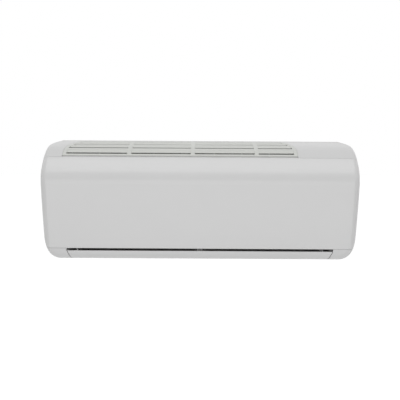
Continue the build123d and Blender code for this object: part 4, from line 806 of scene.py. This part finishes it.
class UNIT_OT_electrics(bpy.types.Operator):
    """Build the screws and the display, and finish boards, box and terminals"""
    bl_idname = "indoor_unit.electrics"
    bl_label = "Electrics and screws"

    def execute(self, context):
        zinc = drawn_metal("Zinc-plated screw", (0.66, 0.67, 0.68), (0.52, 0.53, 0.54), 0.25, 0.15,
                           (300.0, 300.0, 300.0))
        build = bmesh.new()
        low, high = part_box("cover_screws")
        head_radius, head_height = COVER_SCREW[0] * MM, COVER_SCREW[1] * MM
        for height in (low.z + head_radius, high.z - head_radius):
            seat = outermost_y("cover_screws", height, COVER_SCREW_SEARCH * MM) + head_height
            pan_screw(build, Vector(((low.x + high.x) / 2, seat, height)), OUTWARDS, COVER_SCREW)
        piece = piece_from("cover_fixings", build, "unit", ("cover_screws",))
        smooth(piece, 35.0)
        dress(zinc, piece.name)
        build = bmesh.new()
        for x in FRAME_SCREW_X:
            pan_screw(build, spot(x, FRAME_SCREW_DEPTH, FRAME_SCREW_SEAT), DOWNWARDS, FRAME_SCREW)
        piece = piece_from("frame_fixings", build, "unit", ("frame_screws",))
        smooth(piece, 35.0)
        dress(zinc, piece.name)
        low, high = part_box("display_module")
        face = -low.y / MM
        build = bmesh.new()
        middle = (low.x + high.x) / 2 / MM
        base = low.z / MM + SCREW_CENTRE_HEIGHT / MM
        for dx in NUMERAL_PLACES:
            numeral(build, middle + dx, face - NUMERAL_SINK, base + NUMERAL_RISE, NUMERAL_SIZE)
        piece = piece_from("display_numerals", build, "unit")
        dress(plastic("Unlit numeral", (0.2, 0.2, 0.2), 0.3), piece.name)
        dress(plastic("Smoked display", (0.05, 0.05, 0.055), 0.12, spread=0.02, flow=0.9,
                      Coat_Weight=0.6, Coat_Roughness=0.05), "display_module")
        dress(plastic("Cream box plastic", (0.62, 0.6, 0.54), 0.5, flow=0.93),
              "control_box", "terminal_block")
        dress(plastic("Black component", (0.03, 0.03, 0.032), 0.4, flow=0.8), "board_components")
        dress(board_material(), "control_board", "switch_board")
        return {"FINISHED"}


class UNIT_OT_mounting(bpy.types.Operator):
    """Finish the wall plate"""
    bl_idname = "indoor_unit.mounting"
    bl_label = "Wall plate"

    def execute(self, context):
        dress(zinc_sheet("Zinc wall plate", (0.44, 0.46, 0.47), (0.62, 0.64, 0.66), 0.32, 110.0),
              "wall_plate")
        return {"FINISHED"}


# ---- studio ----
CAMERA_PLACE = (-0.0007, -1.8472, 0.4436)
CAMERA_PITCH = 14.443
CAMERA_YAW = 0.015
CAMERA_ROLL = 0.336
SENSOR_WIDTH = 36.0
# each lamp's place, the point it faces and its width and height
FRONT_LAMP = ((0.0, -2.6, -0.1), (0.0, -0.1, 0.0), (3.2, 2.2))
TOP_LAMP = ((0.0, -0.2, 1.75), (0.0, -0.1, 0.1), (2.6, 1.6))
FLOOR_HALF = 6.0
FLOOR_GLOW = 0.6


def camera_axes():
    """The camera's right, up and backward directions."""
    pitch, yaw, roll = (math.radians(a) for a in (CAMERA_PITCH, CAMERA_YAW, CAMERA_ROLL))
    ahead = Vector((math.sin(yaw) * math.cos(pitch), math.cos(yaw) * math.cos(pitch), -math.sin(pitch)))
    right = Vector((math.cos(yaw), -math.sin(yaw), 0.0))
    up = right.cross(ahead)
    turned_right = right * math.cos(roll) + up * math.sin(roll)
    turned_up = up * math.cos(roll) - right * math.sin(roll)
    return turned_right, turned_up, -ahead


def add_camera(look):
    """The camera at the photograph's place."""
    data = bpy.data.cameras.new("Studio camera")
    data.lens = look.lens
    data.sensor_width = SENSOR_WIDTH
    camera = bpy.data.objects.new("Studio camera", data)
    bpy.context.scene.collection.objects.link(camera)
    matrix = Matrix.Identity(4)
    for column, axis in enumerate(camera_axes()):
        for row in range(3):
            matrix[row][column] = axis[row]
    matrix.translation = Vector(CAMERA_PLACE)
    camera.matrix_world = matrix
    bpy.context.scene.camera = camera


def add_lamp(name, place, target, size, power):
    """A large soft lamp that faces a point."""
    data = bpy.data.lights.new(name, "AREA")
    data.shape = "RECTANGLE"
    data.size, data.size_y = size
    data.energy = power
    lamp = bpy.data.objects.new(name, data)
    bpy.context.scene.collection.objects.link(lamp)
    lamp.location = place
    lamp.rotation_euler = (Vector(target) - Vector(place)).to_track_quat("-Z", "Y").to_euler()


def add_world(look):
    """White to the camera and in reflections, and a plain fill on everything else."""
    world = bpy.data.worlds.new("Plain studio")
    bpy.context.scene.world = world
    world.use_nodes = True
    tree = world.node_tree
    tree.nodes.clear()
    ray = node(tree, "ShaderNodeLightPath").outputs
    seen = maths(tree, "MAXIMUM", ray["Is Camera Ray"], ray["Is Transmission Ray"])
    seen = maths(tree, "MAXIMUM", seen, ray["Is Glossy Ray"])
    fill = node(tree, "ShaderNodeBackground", {"Color": WHITE, "Strength": look.fill})
    white = node(tree, "ShaderNodeBackground", {"Color": WHITE, "Strength": 1.0})
    joined = node(tree, "ShaderNodeMixShader", {0: seen, 1: fill.outputs[0], 2: white.outputs[0]})
    end = node(tree, "ShaderNodeOutputWorld")
    tree.links.new(joined.outputs[0], end.inputs[0])


def floor_material():
    """Pale floor that shows white to the camera and keeps a faint shadow."""
    made, tree, shader, place = new_material("Pale floor")
    tone = blended(tree, noise(tree, place, 3.0), (0.8, 0.8, 0.8, 1), (0.82, 0.82, 0.82, 1))
    tree.links.new(tone, shader.inputs["Base Color"])
    shader.inputs["Roughness"].default_value = 0.8
    ray = node(tree, "ShaderNodeLightPath").outputs
    seen = maths(tree, "MAXIMUM", ray["Is Camera Ray"], ray["Is Glossy Ray"])
    glow = node(tree, "ShaderNodeEmission",
                {"Color": WHITE, "Strength": maths(tree, "MULTIPLY", seen, FLOOR_GLOW)})
    joined = node(tree, "ShaderNodeAddShader", {0: shader.outputs[0], 1: glow.outputs[0]})
    end = [n for n in tree.nodes if n.bl_idname == "ShaderNodeOutputMaterial"][0]
    tree.links.new(joined.outputs[0], end.inputs[0])
    return made


class UNIT_OT_studio(bpy.types.Operator):
    """Add the camera, the soft lamps, the surroundings and the floor"""
    bl_idname = "indoor_unit.studio"
    bl_label = "Studio"

    def execute(self, context):
        look = context.scene.indoor_studio
        context.scene.view_settings.view_transform = "Standard"
        add_camera(look)
        add_lamp("Front softbox", *FRONT_LAMP, look.front_light)
        add_lamp("Top softbox", *TOP_LAMP, look.top_light)
        add_world(look)
        build = bmesh.new()
        build.faces.new([build.verts.new((x * FLOOR_HALF, y * FLOOR_HALF, -look.floor_drop))
                         for x, y in ((-1, -1), (1, -1), (1, 1), (-1, 1))])
        mesh = bpy.data.meshes.new("studio_floor")
        build.to_mesh(mesh)
        build.free()
        floor = bpy.data.objects.new("studio_floor", mesh)
        context.scene.collection.objects.link(floor)
        mesh.materials.append(floor_material())
        return {"FINISHED"}


OPERATORS = (UNIT_OT_casing, UNIT_OT_chassis, UNIT_OT_coil, UNIT_OT_filters, UNIT_OT_fan,
             UNIT_OT_electrics, UNIT_OT_mounting, UNIT_OT_studio)
LOOKS = (("indoor_casing", CasingLook), ("indoor_coil", CoilLook), ("indoor_filter", FilterLook),
         ("indoor_fan", FanLook), ("indoor_studio", StudioLook))


class UNIT_PT_finish(bpy.types.Panel):
    """Lists the unit's finishing steps and their values"""
    bl_idname = "UNIT_PT_finish"
    bl_label = "Indoor unit"
    bl_space_type = "VIEW_3D"
    bl_region_type = "UI"
    bl_category = "Indoor unit"

    def draw(self, context):
        for step in OPERATORS:
            self.layout.operator(step.bl_idname)
        for label, look in LOOKS:
            box = self.layout.box()
            for key in look.__annotations__:
                box.prop(getattr(context.scene, label), key)


def register():
    for label, look in LOOKS:
        bpy.utils.register_class(look)
        setattr(bpy.types.Scene, label, PointerProperty(type=look))
    for step in OPERATORS + (UNIT_PT_finish,):
        bpy.utils.register_class(step)


def unregister():
    for step in reversed(OPERATORS + (UNIT_PT_finish,)):
        bpy.utils.unregister_class(step)
    for label, look in reversed(LOOKS):
        delattr(bpy.types.Scene, label)
        bpy.utils.unregister_class(look)


def main():
    """Runs every step in order."""
    register()
    for step in OPERATORS:
        area, name = step.bl_idname.split(".")
        getattr(getattr(bpy.ops, area), name)()


if __name__ == "__main__":
    main()
